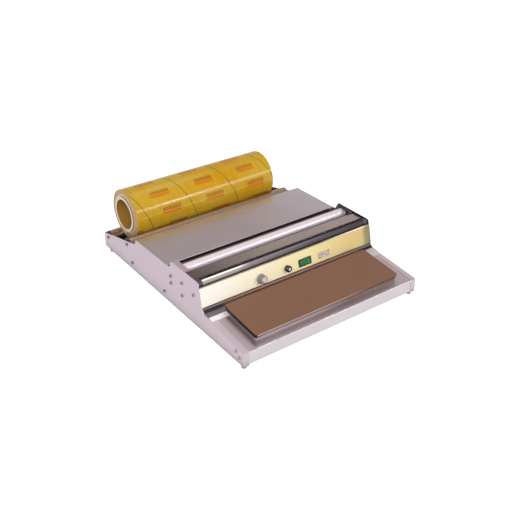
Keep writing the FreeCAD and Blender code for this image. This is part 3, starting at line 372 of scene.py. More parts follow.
def knob_tones(tree):
    """Grey knob: paler cap with a pointer line, darker fluted side and skirt."""
    radius, line = control_face(tree, KNOB, POINTER, *POINTER_STROKE)
    grey = ramp(tree, calc(tree, "DIVIDE", radius, KNOB_RADIUS, clamp=True),
                [(0.0, (0.66, 0.60, 0.60)), (0.58, (0.50, 0.46, 0.45)),
                 (0.66, (0.17, 0.145, 0.13)), (0.86, (0.26, 0.225, 0.20)),
                 (1.0, (0.42, 0.37, 0.33))])
    return mix(tree, line, grey, (0.05, 0.042, 0.040))


def cap_tones(tree):
    """Black cap with a pale disc painted on its front as a highlight, and a dark slot line
    painted across it.
    """
    radius, slot = control_face(tree, FUSE, ALONG, *SLOT_STROKE)
    # A painted highlight: the pale disc in the middle of the cap's front.
    face = mix(tree, below(tree, radius, CAP_HIGHLIGHT_RADIUS), (0.008, 0.007, 0.006), (0.66, 0.61, 0.59))
    return mix(tree, slot, face, (0.03, 0.026, 0.025))


def label_print(tree):
    """Cream plate that deepens to yellow towards its right end, where its last strip is painted
    dark as shade.
    """
    return ramp(tree, progress(tree, "X", -0.2425, 0.2425),
                [(0.0, (0.93, 0.87, 0.80)), (0.28, (0.92, 0.83, 0.62)),
                 (0.62, (0.85, 0.72, 0.36)), (0.86, (0.69, 0.52, 0.21)),
                 # The last stops paint shade on the plate's right end.
                 (0.945, (0.63, 0.465, 0.185)), (0.965, (0.30, 0.245, 0.10)),
                 (1.0, (0.20, 0.17, 0.08))])


# Patterns: tones by place, in metres, and by the way that a surface faces; most of them paint
# light and shade into the colour

MACHINE_X = (-0.24, 0.24)
PLATE_X = (-0.2, 0.2)

# Console cover: its cove, the part of that with a painted reflection of the plate, toe, foot, lip
# and trough
COVE_Z = (0.056, 0.068)
COVE_TOP = 0.0678
# Where the cove carries the plate's painted reflection: its middle and half width along x
PLATE_REFLECTION_X, PLATE_REFLECTION_HALF = 0.004, 0.196
COVE_RIGHT = 0.192
TOE_Y, FOOT_Y = -0.1772, -0.163
LIP_Z, LIP_REAR = 0.107, -0.139
LIP_X = (0.09, 0.236)
# The lip's tone in painted shade
LIP_SHADE = (0.22, 0.19, 0.17)
TROUGH_FRONT, TROUGH_REAR = -0.1395, -0.1164
TROUGH_Z = 0.1

# Right panel: the part of its flange beside the console, which is painted dark as shade
FLANGE_Z, FLANGE_REAR = 0.070, -0.03

# Heater pan: the height of its foot at its front and rear, and of its top band over that which is
# painted dark as shade
PAN_Y = (-0.2841, -0.173)
PAN_FOOT = (0.0484, 0.0578)
PAN_TOP = 0.0022


def sleeve_tones(tree):
    """Cutter sleeve: a painted highlight along its top at the left end, grey below, dull purple
    over the rest that darkens towards the right as painted shade, and painted shade on every face
    not turned to the front.
    """
    run = progress(tree, "X", *MACHINE_X)
    _, back, up = normal_xyz(tree)
    # The bright top at the left end is a painted highlight.
    bright = ramp(tree, run, [(0.0, (0.95, 0.92, 0.91)), (0.21, (0.95, 0.90, 0.90)),
                              (0.28, (0.26, 0.215, 0.25)), (0.55, (0.19, 0.15, 0.17)),
                              (0.8, (0.085, 0.066, 0.070)), (1.0, (0.05, 0.038, 0.040))])
    # Painted shade: the sleeve's front darkens towards the right end.
    dull = ramp(tree, run, [(0.0, (0.42, 0.37, 0.325)), (0.2, (0.36, 0.315, 0.28)),
                            (0.27, (0.24, 0.20, 0.19)), (0.34, (0.20, 0.165, 0.18)),
                            (0.6, (0.10, 0.08, 0.09)), (1.0, (0.045, 0.034, 0.038))])
    front = mix(tree, above(tree, up, 0.74), dull, bright)
    # Faces not turned to the front are painted near black: painted shade.
    return mix(tree, above(tree, back, -0.12), front, (0.02, 0.016, 0.018))


def rest_tones(tree):
    """The rest: painted shade darkens its left end, and its front face is painted near black as
    shade.
    """
    # Painted shade at the left end, lighter towards the right.
    top = ramp(tree, progress(tree, "X", -0.24, 0.16),
               [(0.0, (0.17, 0.135, 0.125)), (0.5, (0.48, 0.435, 0.385)),
                (1.0, (0.56, 0.49, 0.50))])
    # The front face is painted near black: painted shade.
    return mix(tree, below(tree, normal_xyz(tree)[1], -0.5), top, (0.03, 0.025, 0.025))


def cove_tones(tree, x, y):
    """Lower part of the cover: a cove darkened by painted shade, a painted brown reflection of
    the plate over most of it, and a toe lit by a painted reflection.
    """
    height = progress(tree, "Z", *COVE_Z)
    # Painted shade darkening the cove.
    plain = ramp(tree, height, [(0.0, (0.18, 0.145, 0.17)), (0.12, (0.16, 0.125, 0.15)),
                                (0.2, (0.025, 0.018, 0.022)), (0.5, (0.035, 0.028, 0.030)),
                                (0.95, (0.13, 0.115, 0.10))])
    # A painted reflection of the brown plate.
    plate_reflection = ramp(tree, height, [(0.0, (0.08, 0.045, 0.033)), (0.7, (0.112, 0.055, 0.037)),
                                  (0.93, (0.112, 0.057, 0.038)),
                                  (0.97, (0.025, 0.018, 0.014))])
    cove = mix(tree, within(tree, x, PLATE_REFLECTION_X, PLATE_REFLECTION_HALF), plain, plate_reflection)
    right = above(tree, x, COVE_RIGHT)
    # The toe is painted bright as a painted reflection, duller at the right end.
    toe = mix(tree, right, (0.95, 0.92, 0.94), (0.62, 0.56, 0.58))
    foot = product(tree, right, below(tree, y, FOOT_Y))
    return mix(tree, calc(tree, "MAXIMUM", below(tree, y, TOE_Y), foot), cove, toe)


def cover_tones(tree):
    """Cover: a trough painted near black as shade, a lip in painted shade with a painted
    highlight towards its right end, and under the control plate the cove and the toe.
    """
    x, y, z = object_xyz(tree)
    tone = mix(tree, below(tree, z, COVE_TOP), (0.60, 0.55, 0.57), cove_tones(tree, x, y))
    # The lip: painted shade at its left end and rear, rising to a painted cream highlight towards
    # its right end.
    lip = ramp(tree, progress(tree, "X", *LIP_X),
               [(0.0, LIP_SHADE), (0.35, (0.62, 0.53, 0.40)), (0.9, (0.90, 0.82, 0.66)),
                (1.0, (0.30, 0.26, 0.24))])
    lip = mix(tree, below(tree, y, LIP_REAR), LIP_SHADE, lip)
    tone = mix(tree, above(tree, z, LIP_Z), tone, lip)
    # The trough is painted near black: painted shade.
    trough = product(tree, above(tree, y, TROUGH_FRONT), below(tree, y, TROUGH_REAR),
                     above(tree, z, TROUGH_Z))
    return mix(tree, trough, tone, (0.012, 0.010, 0.012))


def deck_tones(tree):
    """Deck: painted light makes it a little brighter towards its right end."""
    return ramp(tree, progress(tree, "X", *MACHINE_X),
                [(0.0, (0.56, 0.55, 0.585)), (0.5, (0.585, 0.55, 0.585)),
                 (1.0, (0.70, 0.685, 0.74))])


def screw_tones(tree):
    """Screws: painted light makes them brighter at the front than at the rear."""
    return ramp(tree, progress(tree, "Y", -0.28, 0.06),
                [(0.0, (0.50, 0.43, 0.47)), (0.5, (0.40, 0.34, 0.38)),
                 (1.0, (0.26, 0.21, 0.24))])


def panel_tones(tree):
    """Side panel: painted shade darkens a band along its lower edge."""
    return ramp(tree, progress(tree, "Z", 0.008, 0.034),
                [(0.0, (0.40, 0.35, 0.38)), (0.45, (0.55, 0.48, 0.52)),
                 (1.0, (0.62, 0.52, 0.58))])


def right_tones(tree):
    """Right side panel: faces turned up or inward painted lighter as painted light, and its
    flange painted dark as shade beside the console.
    """
    x_out, _, up = normal_xyz(tree)
    _, y, z = object_xyz(tree)
    inward = calc(tree, "MAXIMUM", above(tree, up, 0.3), below(tree, x_out, -0.3))
    beside = product(tree, above(tree, z, FLANGE_Z), below(tree, y, FLANGE_REAR))
    # Painted light: faces turned up or inward are lighter.
    steel = mix(tree, inward, panel_tones(tree), (0.84, 0.76, 0.80))
    # Painted shade on the flange beside the console.
    return mix(tree, product(tree, inward, beside), steel, (0.06, 0.045, 0.05))


def tray_tones(tree):
    """Base tray: its top painted darker at the left end than at the right, and its front skirt
    painted bright, all painted reflection.
    """
    top = ramp(tree, progress(tree, "X", *MACHINE_X),
               [(0.0, (0.47, 0.41, 0.43)), (0.6, (0.42, 0.375, 0.40)),
                (0.85, (0.58, 0.525, 0.55)), (1.0, (0.68, 0.61, 0.65))])
    # The front skirt is painted brighter than the top: painted reflection.
    return mix(tree, below(tree, normal_xyz(tree)[1], -0.6), top, (0.63, 0.575, 0.60))


def edge_tones(tree):
    """Sealing plate: its sides painted near black as shade, and its front edge darkening from
    pale at the left to brown at the right.
    """
    front = ramp(tree, progress(tree, "X", *PLATE_X),
                 [(0.0, (0.52, 0.42, 0.37)), (0.55, (0.46, 0.35, 0.29)),
                  (0.78, (0.15, 0.08, 0.05)), (1.0, (0.12, 0.06, 0.04))])
    # The sides are painted near black: painted shade.
    return mix(tree, looks_sideways(tree, 0.35), front, (0.05, 0.026, 0.016))


def pan_tones(tree):
    """Heater pan: darker and browner towards its right, with painted shade along its left side
    and its top.
    """
    _, y, z = object_xyz(tree)
    height = calc(tree, "SUBTRACT", z, spread(tree, y, *PAN_FOOT, *PAN_Y))
    left = product(tree, below(tree, normal_xyz(tree)[0], -0.35), above(tree, height, 0.0))
    steel = ramp(tree, progress(tree, "X", *PLATE_X),
                 [(0.0, (0.42, 0.365, 0.375)), (0.4, (0.34, 0.28, 0.285)),
                  (0.65, (0.20, 0.145, 0.135)), (1.0, (0.17, 0.105, 0.075))])
    # Painted shade: the top band and the left side go near black.
    dark = calc(tree, "MAXIMUM", above(tree, height, PAN_TOP), left)
    return mix(tree, dark, steel, (0.035, 0.022, 0.018))


# Materials of the CAD nodes

ALONG_X = (60, 2400, 2400)
ALONG_Y = (2400, 60, 2400)
ROLLED = (90, 2600, 2600)


def even(scale):
    """A grain of one scale along every axis."""
    return (scale, scale, scale)


# Each: name, colour or tones, roughness, metal, grain's scale, and how far each thing goes
panel_steel = surface("panel_steel", panel_tones, 0.36, 1.0, ALONG_Y,
                      depth=0.12, tint=0.03, uneven=0.05, smudge=0.06)
sheet_steel = surface("sheet_steel", tray_tones, 0.36, 0.9, ALONG_X,
                      depth=0.06, tint=0.04, uneven=0.04, smudge=0.04)
right_steel = surface("right_steel", right_tones, 0.36, 1.0, ALONG_Y,
                      depth=0.12, tint=0.03, uneven=0.05, smudge=0.06)
cover_steel = surface("cover_steel", cover_tones, 0.32, 0.35, ALONG_X,
                      depth=0.04, tint=0.03, uneven=0.03, smudge=0.03)
deck_steel = surface("deck_steel", deck_tones, 0.24, 1.0, ALONG_X,
                     depth=0.06, tint=0.04, uneven=0.05)
rest_steel = surface("rest_steel", rest_tones, 0.26, 1.0, ALONG_X,
                     depth=0.12, tint=0.05, uneven=0.05)
inner_steel = surface("inner_steel", (0.42, 0.41, 0.42), 0.45, 1.0, even(240),
                      depth=0.2, tint=0.10)
satin_alloy = surface("satin_alloy", (0.80, 0.71, 0.76), 0.45, 0.4, ROLLED,
                      depth=0.04, tint=0.03, uneven=0.03, smudge=0.03)
carrier_steel = surface("carrier_steel", (0.46, 0.36, 0.27), 0.34, 1.0, ROLLED,
                        depth=0.06, tint=0.05, uneven=0.05, smudge=0.04)
bar_steel = surface("bar_steel", (0.45, 0.45, 0.45), 0.3, 1.0, (2600, 300, 300),
                    depth=0.1, tint=0.05, uneven=0.05)
screw_steel = surface("screw_steel", screw_tones, 0.3, 1.0, even(900),
                      depth=0.1, tint=0.08, uneven=0.06)
# Screw recesses painted near black: painted shade.
recess_shade = surface("recess_shade", (0.02, 0.016, 0.018), 0.6, 0.2, even(900),
                       depth=0.1, tint=0.1)
nylon = surface("dark_nylon", (0.030, 0.018, 0.040), 0.42, 0.0, even(1500),
                depth=0.12, tint=0.15)
rubber = surface("black_rubber", (0.016, 0.015, 0.015), 0.72, 0.0, even(1200),
                 depth=0.3, tint=0.2)
foot_rubber = surface("foot_rubber", (0.30, 0.32, 0.30), 0.66, 0.0, even(1200),
                      depth=0.3, tint=0.08)
gloss_black = surface("gloss_black", (0.008, 0.007, 0.006), 0.10, 0.0, even(700),
                      depth=0.03, tint=0.1, uneven=0.04)
cap_black = surface("cap_black", cap_tones, 0.14, 0.0, even(700),
                    depth=0.03, tint=0.1, uneven=0.04)
film = surface("film_wound", wound_film, 0.12, 0.0, (900, 4, 4),
               depth=0.06, tint=0.03, uneven=0.03, smudge=0.04, Specular_IOR_Level=0.25)
card = surface("core_card", wound_card, 0.75, 0.0, even(400), depth=0.3, tint=0.06)
rod_metal = surface("rod_metal", (0.3, 0.29, 0.29), 0.35, 1.0, (2200, 200, 200),
                    depth=0.1, tint=0.08)
sleeve = surface("rod_sleeve", sleeve_tones, 0.42, 0.0, (300, 900, 900),
                 depth=0.08, tint=0.12, uneven=0.06, Specular_IOR_Level=0.15)
alloy = surface("plate_alloy", edge_tones, 0.34, 0.7, ALONG_X, depth=0.1, tint=0.05)
cloth = surface("plate_cloth", (0.208, 0.100, 0.060), 0.5, 0.0, even(700),
                depth=0.25, tint=0.05, uneven=0.06, smudge=0.06, relief=weave,
                Specular_IOR_Level=0.25)
pan_steel = surface("pan_steel", pan_tones, 0.4, 0.7, ALONG_X,
                    depth=0.08, tint=0.06, uneven=0.05)
silicone = surface("heater_silicone", (0.38, 0.07, 0.03), 0.6, 0.0, even(900),
                   depth=0.2, tint=0.1)
felt = surface("mineral_felt", (0.62, 0.58, 0.48), 0.92, 0.0, (700, 700, 1800),
               depth=0.8, tint=0.12)
label = surface("label_plate", label_print, 0.34, 0.0, even(1300),
                depth=0.05, tint=0.02, uneven=0.05)
ink = surface("dial_ink", (0.10, 0.07, 0.03), 0.5, 0.0, even(1300), depth=0.05, tint=0.05)
knob_grey = surface("knob_grey", knob_tones, 0.34, 0.0, even(1400),
                    depth=0.1, tint=0.05, uneven=0.06)
brass = surface("shaft_brass", (0.60, 0.42, 0.15), 0.3, 1.0, (1800, 1800, 300),
                depth=0.1, tint=0.05)
pressed = surface("pressed_case", (0.52, 0.52, 0.53), 0.32, 1.0, even(600),
                  depth=0.1, tint=0.05)
glass = surface("fuse_glass", (0.85, 0.9, 0.9), 0.05, 0.0, even(500),
                depth=0.02, tint=0.02, uneven=0.02, Transmission_Weight=0.85)
green = surface("switch_green", (0.003, 0.15, 0.042), 0.22, 0.0, even(600),
                depth=0.04, tint=0.08, uneven=0.05)
green_mark = surface("switch_mark", (0.09, 0.36, 0.16), 0.3, 0.0, even(600),
                     depth=0.04, tint=0.05, uneven=0.05)
frame_brown = surface("switch_frame", (0.045, 0.018, 0.012), 0.3, 0.0, even(700),
                      depth=0.05, tint=0.1)
hood_steel = surface("hood_steel", (0.30, 0.24, 0.33), 0.3, 1.0, ALONG_X,
                     depth=0.05, tint=0.05)
lamination = surface("core_laminations", (0.06, 0.055, 0.06), 0.4, 0.7, (30, 2600, 30),
                     depth=0.5, tint=0.2)
copper = surface("coil_copper", (0.45, 0.16, 0.06), 0.3, 0.8, (60, 60, 2600),
                 depth=0.5, tint=0.15)
white_nylon = surface("white_nylon", (0.72, 0.71, 0.66), 0.4, 0.0, even(900),
                      depth=0.1, tint=0.04)

dress(panel_steel, "side_panel_left")
dress(right_steel, "side_panel_right")
dress(sheet_steel, "base_tray")
dress(cover_steel, "console_cover")
dress(deck_steel, "deck_plate")
dress(rest_steel, "film_rest")
dress(inner_steel, "base_plate", "rear_rail", "cross_bar_front", "cross_bar_rear",
      "roller_bracket_left", "roller_bracket_right")
dress(satin_alloy, "guide_roller_tube")
dress(carrier_steel, "carrier_front_tube", "carrier_rear_tube")
dress(bar_steel, "guide_roller_axle", "carrier_front_axle", "carrier_rear_axle",
      "plate_standoffs")
dress(screw_steel, "side_screws_left", "side_screws_right", "foot_screws", "base_screws",
      "plate_screws")
dress(nylon, "guide_roller_plugs", "carrier_front_plugs", "carrier_rear_plugs",
      "cutter_blocks", "fuse_nut")
dress(rubber, "cable_grommet")
dress(foot_rubber, "rubber_feet")
dress(gloss_black, "fuse_holder")
dress(cap_black, "fuse_cap")
dress(frame_brown, "switch_housing")
dress(film, "film_roll")
dress(card, "film_core")
dress(rod_metal, "cutter_rod")
dress(sleeve, "cutter_sleeve")
dress(alloy, "sealing_plate")
dress(cloth, "plate_cover")
dress(pan_steel, "heater_pan")
dress(silicone, "heater_mat")
dress(felt, "insulation_mat")
dress(label, "control_panel")
dress(knob_grey, "temperature_knob")
dress(brass, "thermostat_shaft")
dress(pressed, "thermostat_body")
dress(glass, "fuse_link")
dress(green, "switch_rocker")
dress(lamination, "transformer_core")
dress(copper, "transformer_coil")
dress(white_nylon, "terminal_block")


# Added pieces

def piece(name, shape, body, *materials):
    """The bmesh as a piece that rides on a body."""
    data = bpy.data.meshes.new(name)
    bmesh.ops.recalc_face_normals(shape, faces=shape.faces)
    shape.to_mesh(data)
    shape.free()
    for material in materials:
        data.materials.append(material)
    made = bpy.data.objects.new(name, data)
    scene.collection.objects.link(made)
    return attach(made, body)


def bridge(shape, first, second, smooth=False, index=0):
    """Faces between two closed loops with the same number of vertices."""
    for step in range(len(first)):
        after = (step + 1) % len(first)
        face = shape.faces.new((first[step], first[after], second[after], second[step]))
        face.smooth = smooth
        face.material_index = index


def loft(shape, loops, smooth=False):
    """Faces over loops in turn, with one over each end."""
    for first, second in zip(loops, loops[1:]):
        bridge(shape, first, second, smooth)
    shape.faces.new(loops[0])
    shape.faces.new(loops[-1])


def hoop(shape, loops):
    """Faces over loops in turn and back to the first."""
    for first, second in zip(loops, loops[1:] + loops[:1]):
        bridge(shape, first, second)


def caster(name):
    """A ray caster on a CAD node's mesh."""
    data = NODES[name].data
    return BVHTree.FromPolygons([vertex.co for vertex in data.vertices],
                                [tuple(face.vertices) for face in data.polygons])


# Screws: the CAD's plain ones are found by the radii of their flat ends, in mm

SHANK_RADIUS = 2.0
HEAD_FLAT = 2.8
RADIUS_SLACK = 0.1
IN_LINE = 0.1 * MM
FLATNESS = 0.999
HEAD_SIDES = 32
HEAD_RISE = 2.2 * MM
SINK = 0.001 * MM
# Radius and height of the turned head's rings, in mm
HEAD_PROFILE = [(SHANK_RADIUS, 0.0), (4.0, 0.0), (4.0, 1.0), (3.84, 1.6), (3.4, 2.04),
                (2.8, 2.2)]
CROSS_HALF = 0.7
CROSS_REACH = 2.3
CROSS_DEPTH = 1.3
CROSS_TAPER = 0.7
RECESS_SLOT = 1
# Each screw of a set is turned this much further than the last, in radians
SPIN_STEP = 0.7


def islands(data):
    """The connected parts of a mesh, each as its faces."""
    shape = bmesh.new()
    shape.from_mesh(data)
    seen = set()
    for start in shape.faces:
        if start in seen:
            continue
        part, waiting = [], [start]
        seen.add(start)
        while waiting:
            face = waiting.pop()
            part.append(face)
            for edge in face.edges:
                for near in edge.link_faces:
                    if near not in seen:
                        seen.add(near)
                        waiting.append(near)
        yield part
    shape.free()


def flat_ends(data, radius):
    """Centre and normal of each flat part whose corners lie about a radius from its centre."""
    for part in islands(data):
        total = sum((face.normal * face.calc_area() for face in part), Vector())
        area = sum(face.calc_area() for face in part)
        corners = {tuple(vertex.co) for face in part for vertex in face.verts}
        centre = sum((Vector(corner) for corner in corners), Vector()) / len(corners)
        reach = max((Vector(corner) - centre).length for corner in corners)
        if total.length > FLATNESS * area and abs(reach / MM - radius) < RADIUS_SLACK:
            yield centre, total.normalized()


def cross_outline(scale):
    """A plus sign with twelve corners."""
    corner = [(CROSS_REACH, -CROSS_HALF), (CROSS_REACH, CROSS_HALF), (CROSS_HALF, CROSS_HALF)]
    points = []
    for quarter in range(4):
        angle = quarter * math.pi / 2
        cos, sin = round(math.cos(angle)), round(math.sin(angle))
        points += [((x * cos - y * sin) * scale, (x * sin + y * cos) * scale)
                   for x, y in corner]
    return points


def add_screw(shape, place, tip, spin):
    """A pan head with a cross recess, with its shank down to the tip."""
    out = (place - tip).normalized()
    length = (place - tip).length - HEAD_RISE
    turn = Matrix.Translation(place - out * (HEAD_RISE + SINK))
    turn = turn @ out.to_track_quat("Z", "Y").to_matrix().to_4x4()
    turn = turn @ Matrix.Rotation(spin, 4, "Z")
    angles = [step * math.tau / HEAD_SIDES for step in range(HEAD_SIDES)]

    def loop(points, height):
        return [shape.verts.new(turn @ Vector((x * MM, y * MM, height * MM)))
                for x, y in points]

    def circle(radius, height):
        return loop([(math.cos(angle) * radius, math.sin(angle) * radius) for angle in angles],
                    height)

    rings = [circle(SHANK_RADIUS, -length / MM)]
    shape.faces.new(rings[0])
    for radius, height in HEAD_PROFILE:
        rings.append(circle(radius, height))
        bridge(shape, rings[-2], rings[-1], smooth=True)
    top = HEAD_RISE / MM
    mouth = loop(cross_outline(1.0), top)
    deep = loop(cross_outline(CROSS_TAPER), top - CROSS_DEPTH)
    bridge(shape, deep, mouth, index=RECESS_SLOT)
    shape.faces.new(deep).material_index = RECESS_SLOT
    edges = []
    for rim in (rings[-1], mouth):
        for pair in zip(rim, rim[1:] + rim[:1]):
            edges.append(shape.edges.get(pair) or shape.edges.new(pair))
    bmesh.ops.triangle_fill(shape, edges=edges, use_beauty=True)


for node in ("side_screws_left", "side_screws_right", "base_screws", "foot_screws",
             "plate_screws"):
    data = NODES[node].data
    tips = [centre for centre, _ in flat_ends(data, SHANK_RADIUS)]
    shape = bmesh.new()
    for index, (centre, normal) in enumerate(flat_ends(data, HEAD_FLAT)):
        behind = [tip for tip in tips if (centre - tip).cross(normal).length < IN_LINE]
        tip = min(behind, key=lambda tip: (centre - tip).length)
        add_screw(shape, centre, tip, SPIN_STEP * index)
    made = piece(node + "_turned", shape, "frame", screw_steel, recess_shade)
    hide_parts(node)


# Louvre hoods: a profile up the plate and out of it, and its swell along a slot, in mm

HOOD_PROFILE = [(1.9, -0.4), (1.9, 0.2), (1.5, 0.8), (0.8, 1.25), (0.0, 1.4), (-0.5, 1.4),
                (-0.5, 1.05), (0.0, 1.0), (0.6, 0.85), (1.1, 0.5), (1.4, 0.0), (1.4, -0.4)]
HOOD_STATIONS = [(-17.0, 0.05), (-16.6, 0.5), (-16.0, 0.78), (-15.0, 0.95), (-13.5, 1.0),
                 (13.5, 1.0), (15.0, 0.95), (16.0, 0.78), (16.6, 0.5), (17.0, 0.05)]
HOOD_SLOTS = (-5, 0, 5)
LOUVRES = KNOB + ALONG * (181.5 * MM)


def on_face(across, rise, out=0.0, centre=KNOB):
    """A point on the control plate: across it, up it and out of it from a control's centre."""
    place = centre + ALONG * across + UP * rise
    return place + OUT * (FACE_OUT + out - place.dot(OUT))


shape = bmesh.new()
for slot in HOOD_SLOTS:
    loops = []
    for across, swell in HOOD_STATIONS:
        loops.append([shape.verts.new(on_face(across * MM, (slot + rise) * MM,
                                              (out * swell if out > 0 else out) * MM, LOUVRES))
                      for rise, out in HOOD_PROFILE])
    loft(shape, loops, smooth=True)
piece("louvre_hoods", shape, "frame", hood_steel)


# Front lip of the deck: y and z in mm, from the deck's top edge forward and down

LIP_PROFILE = [(-2.3, 103.53), (-11.4, 103.70), (-12.1, 103.50), (-12.5, 103.05),
               (-12.7, 102.50), (-12.7, 96.4), (-12.4, 96.0), (-11.8, 96.0), (-11.5, 96.4),
               (-11.5, 102.1), (-11.2, 102.45), (-3.5, 102.30), (-2.3, 102.45)]
LIP_HALF = 241

shape = bmesh.new()
loft(shape, [[shape.verts.new((x * MM, y * MM, z * MM)) for y, z in LIP_PROFILE]
             for x in (-LIP_HALF, LIP_HALF)])
piece("deck_front_lip", shape, "frame", deck_steel)


# Riser: a sheet ring that closes the gap between the heater pan and the tray under it

RISER_CORNER = 8.0 * MM
RISER_WALL = 1.0 * MM
RISER_INSET = 0.9 * MM
RISER_INTO_PAN = 0.3 * MM
RISER_INTO_TRAY = 0.2 * MM
ARC_STEPS = 6
# Heights are taken at this x, which is clear of the screws, from below and from above
PROBE_X, PROBE_BELOW, PROBE_ABOVE = 0.06, -0.1, 0.3


def pan_riser():
    pan, tray = caster("heater_pan"), caster("base_tray")
    low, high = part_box("heater_pan")
    front, back = low[1] + RISER_INSET, high[1] - RISER_INSET
    half = high[0] - RISER_INSET
    corners = ((1, back, -1), (-1, back, -1), (-1, front, 1), (1, front, 1))
    shape = bmesh.new()

    def loop(shrink, upper):
        made = []
        for quarter, (side, edge, inward) in enumerate(corners):
            centre = Vector((side * (half - RISER_CORNER), edge + inward * RISER_CORNER))
            for step in range(ARC_STEPS + 1):
                angle = math.radians(90 * (quarter + step / ARC_STEPS))
                arm = Vector((math.cos(angle), math.sin(angle)))
                x, y = centre + arm * (RISER_CORNER - shrink)
                if upper:
                    start, towards, into = (PROBE_X, y, PROBE_BELOW), (0, 0, 1), RISER_INTO_PAN
                    hit = pan.ray_cast(Vector(start), Vector(towards))[0]
                else:
                    start, towards, into = (PROBE_X, y, PROBE_ABOVE), (0, 0, -1), -RISER_INTO_TRAY
                    hit = tray.ray_cast(Vector(start), Vector(towards))[0]
                made.append(shape.verts.new((x, y, hit.z + into)))
        return made

    hoop(shape, [loop(0.0, False), loop(0.0, True), loop(RISER_WALL, True),
                 loop(RISER_WALL, False)])
    return piece("pan_riser", shape, "frame", pan_steel)


pan_riser()


# Dial scale round the knob: ticks over its sweep, and a figure at each major one, in mm

DIAL_STEPS = 10
DIAL_SWEEP = math.radians(270)
INK_LIFT = 0.06 * MM
TICK_NEAR = 12.4
# A tick's outer end and half its width, where it is a major one and where it isn't
TICKS = {True: (14.4, 0.28), False: (13.6, 0.16)}
FIGURE_ACROSS, FIGURE_UP = 16.6, 15.9
FIGURE_SIZE = 3.4 * MM


def glyph_faces(shape, text, size, place, lift):
    """Flat lettering of a given height, centred on a place and raised out of a plane."""
    curve = bpy.data.curves.new("glyph", "FONT")
    curve.body = text
    curve.size = size
    curve.align_x = "CENTER"
    curve.align_y = "CENTER"
    curve.extrude = lift / 2
    source = bpy.data.objects.new("glyph", curve)
    data = bpy.data.meshes.new_from_object(source)
    before = len(shape.verts)
    shape.from_mesh(data)
    shape.verts.ensure_lookup_table()
    turn = Matrix.Translation(place) @ Matrix((ALONG, UP, OUT)).transposed().to_4x4()
    bmesh.ops.transform(shape, matrix=turn, verts=shape.verts[before:])
    bpy.data.objects.remove(source)
    bpy.data.curves.remove(curve)
    bpy.data.meshes.remove(data)


shape = bmesh.new()
for step in range(DIAL_STEPS + 1):
    angle = DIAL_SWEEP * (step / DIAL_STEPS - 0.5)
    sin, cos = math.sin(angle), math.cos(angle)
    major = step % 2 == 0
    far, half = TICKS[major]
    corners = [on_face((sin * reach + cos * side) * MM, (cos * reach - sin * side) * MM)
               for reach, side in ((TICK_NEAR, -half), (TICK_NEAR, half), (far, half),
                                   (far, -half))]
    loft(shape, [[shape.verts.new(corner + OUT * lift) for corner in corners]
                 for lift in (0.0, INK_LIFT)])
    if major:
        place = on_face(sin * FIGURE_ACROSS * MM, cos * FIGURE_UP * MM, INK_LIFT / 2)
        glyph_faces(shape, str(step), FIGURE_SIZE, place, INK_LIFT)
piece("dial_scale", shape, "frame", ink)


# Marks on the rocker, in mm from its middle

MARK_ACROSS = 8.0
BAR_WIDTH, BAR_REACH = 0.4, 2.6
RING_INNER, RING_OUTER = 1.7, 2.4
RING_STEPS = 24
MARK_SINK, MARK_LIFT = -0.05, 0.2
MARK_PROBE = 50.0


def rocker_marks():
    """A raised bar and ring, the usual on and off signs, laid on the rocker's two halves."""
    rocker = caster("switch_rocker")
    shape = bmesh.new()

    def lay(points, lift):
        made = []
        for across, rise in points:
            start = SWITCH + ALONG * across * MM + UP * rise * MM + OUT * (MARK_PROBE * MM)
            hit, normal, _, _ = rocker.ray_cast(start, -OUT)
            made.append(shape.verts.new(hit + normal * (lift * MM)))
        return made

    left, right = -MARK_ACROSS - BAR_WIDTH, -MARK_ACROSS + BAR_WIDTH
    bar = [(left, -BAR_REACH), (right, -BAR_REACH), (right, BAR_REACH), (left, BAR_REACH)]
    loft(shape, [lay(bar, MARK_SINK), lay(bar, MARK_LIFT)])
    angles = [step * math.tau / RING_STEPS for step in range(RING_STEPS)]
    hoop(shape, [lay([(MARK_ACROSS + radius * math.cos(angle), radius * math.sin(angle))
                      for angle in angles], lift)
                 for radius, lift in ((RING_INNER, MARK_SINK), (RING_INNER, MARK_LIFT),
                                      (RING_OUTER, MARK_LIFT), (RING_OUTER, MARK_SINK))])
    return piece("rocker_marks", shape, "switch_rocker", green_mark)


rocker_marks()


# Stage

WHITE = (1, 1, 1, 1)
FLOOR_GREY = (0.62, 0.62, 0.62, 1)
FLOOR_HALF = 12.0
CAMERA_GLOW = 0.75
MIRROR_GLOW = 0.45
WORLD_LIGHT = 0.5
MIDDLE = (0, 0, 0.05)


def ray_kinds(tree):
    """1 where a ray comes from the camera, and 1 where it is mirrored or passed on."""
    path = add(tree, "ShaderNodeLightPath").outputs
    return path["Is Camera Ray"], calc(tree, "MAXIMUM", path["Is Glossy Ray"],
                                       path["Is Transmission Ray"])


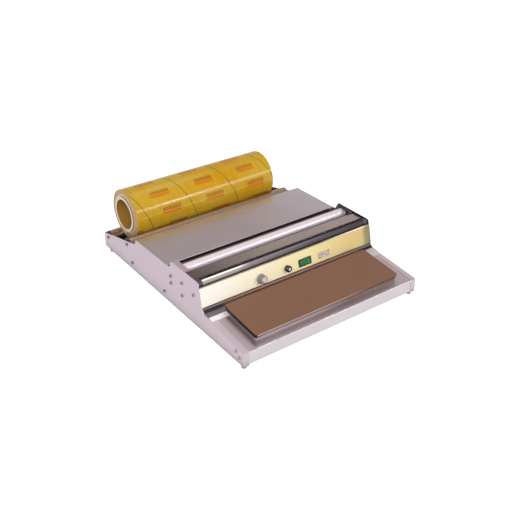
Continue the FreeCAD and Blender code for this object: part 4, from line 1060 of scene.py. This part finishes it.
floor_mesh = bpy.data.meshes.new("floor")
floor_mesh.from_pydata([(-FLOOR_HALF, -FLOOR_HALF, 0), (FLOOR_HALF, -FLOOR_HALF, 0),
                        (FLOOR_HALF, FLOOR_HALF, 0), (-FLOOR_HALF, FLOOR_HALF, 0)], [],
                       [(0, 1, 2, 3)])
floor = bpy.data.objects.new("floor", floor_mesh)
scene.collection.objects.link(floor)
floor_material = bpy.data.materials.new("floor")
floor_material.use_nodes = True
tree = floor_material.node_tree
tree.nodes.clear()
matt = add(tree, "ShaderNodeBsdfDiffuse", {"Color": FLOOR_GREY})
seen, mirrored = ray_kinds(tree)
strength = calc(tree, "ADD", product(tree, seen, CAMERA_GLOW),
                product(tree, mirrored, MIRROR_GLOW))
glow = add(tree, "ShaderNodeEmission", {"Color": WHITE, "Strength": strength})
both = add(tree, "ShaderNodeAddShader", {0: matt.outputs[0], 1: glow.outputs[0]})
add(tree, "ShaderNodeOutputMaterial", {"Surface": both.outputs[0]})
floor_mesh.materials.append(floor_material)

world = bpy.data.worlds.new("studio")
scene.world = world
world.use_nodes = True
tree = world.node_tree
tree.nodes.clear()
heading = add(tree, "ShaderNodeTexCoord").outputs["Generated"]
rise = add(tree, "ShaderNodeSeparateXYZ", {0: heading}).outputs[2]
walls = ramp(tree, rise, [(0.0, (0.90, 0.89, 0.90)), (0.16, (0.84, 0.82, 0.83)),
                          (0.34, (0.60, 0.52, 0.50)), (0.60, (0.52, 0.45, 0.43)),
                          (0.85, (0.48, 0.43, 0.42)), (1.0, (0.60, 0.56, 0.55))])
room, studio, backdrop = (
    add(tree, "ShaderNodeBackground", {"Color": colour, "Strength": strength}).outputs[0]
    for colour, strength in ((WHITE, WORLD_LIGHT), (walls, 1.0), (WHITE, 1.0)))
seen, mirrored = ray_kinds(tree)
unseen = add(tree, "ShaderNodeMixShader", {0: mirrored, 1: room, 2: studio}).outputs[0]
sky = add(tree, "ShaderNodeMixShader", {0: seen, 1: unseen, 2: backdrop}).outputs[0]
add(tree, "ShaderNodeOutputWorld", {"Surface": sky})


def lamp(name, place, power, width, height, aim=MIDDLE):
    data = bpy.data.lights.new(name, "AREA")
    data.shape = "RECTANGLE"
    data.size = width
    data.size_y = height
    data.energy = power
    put(name, data, place, aim)


lamp("key", (-1.5, -1.7, 1.6), power=34, width=1.4, height=1.0)
lamp("fill", (1.0, -1.65, 0.95), power=12, width=1.3, height=0.4)
lamp("top", (0.2, 0.9, 2.3), power=8, width=2.0, height=1.2)
lamp("glint", (0.95, -1.65, 0.95), power=1.6, width=0.17, height=0.14, aim=(-0.1, 0.2, 0.15))
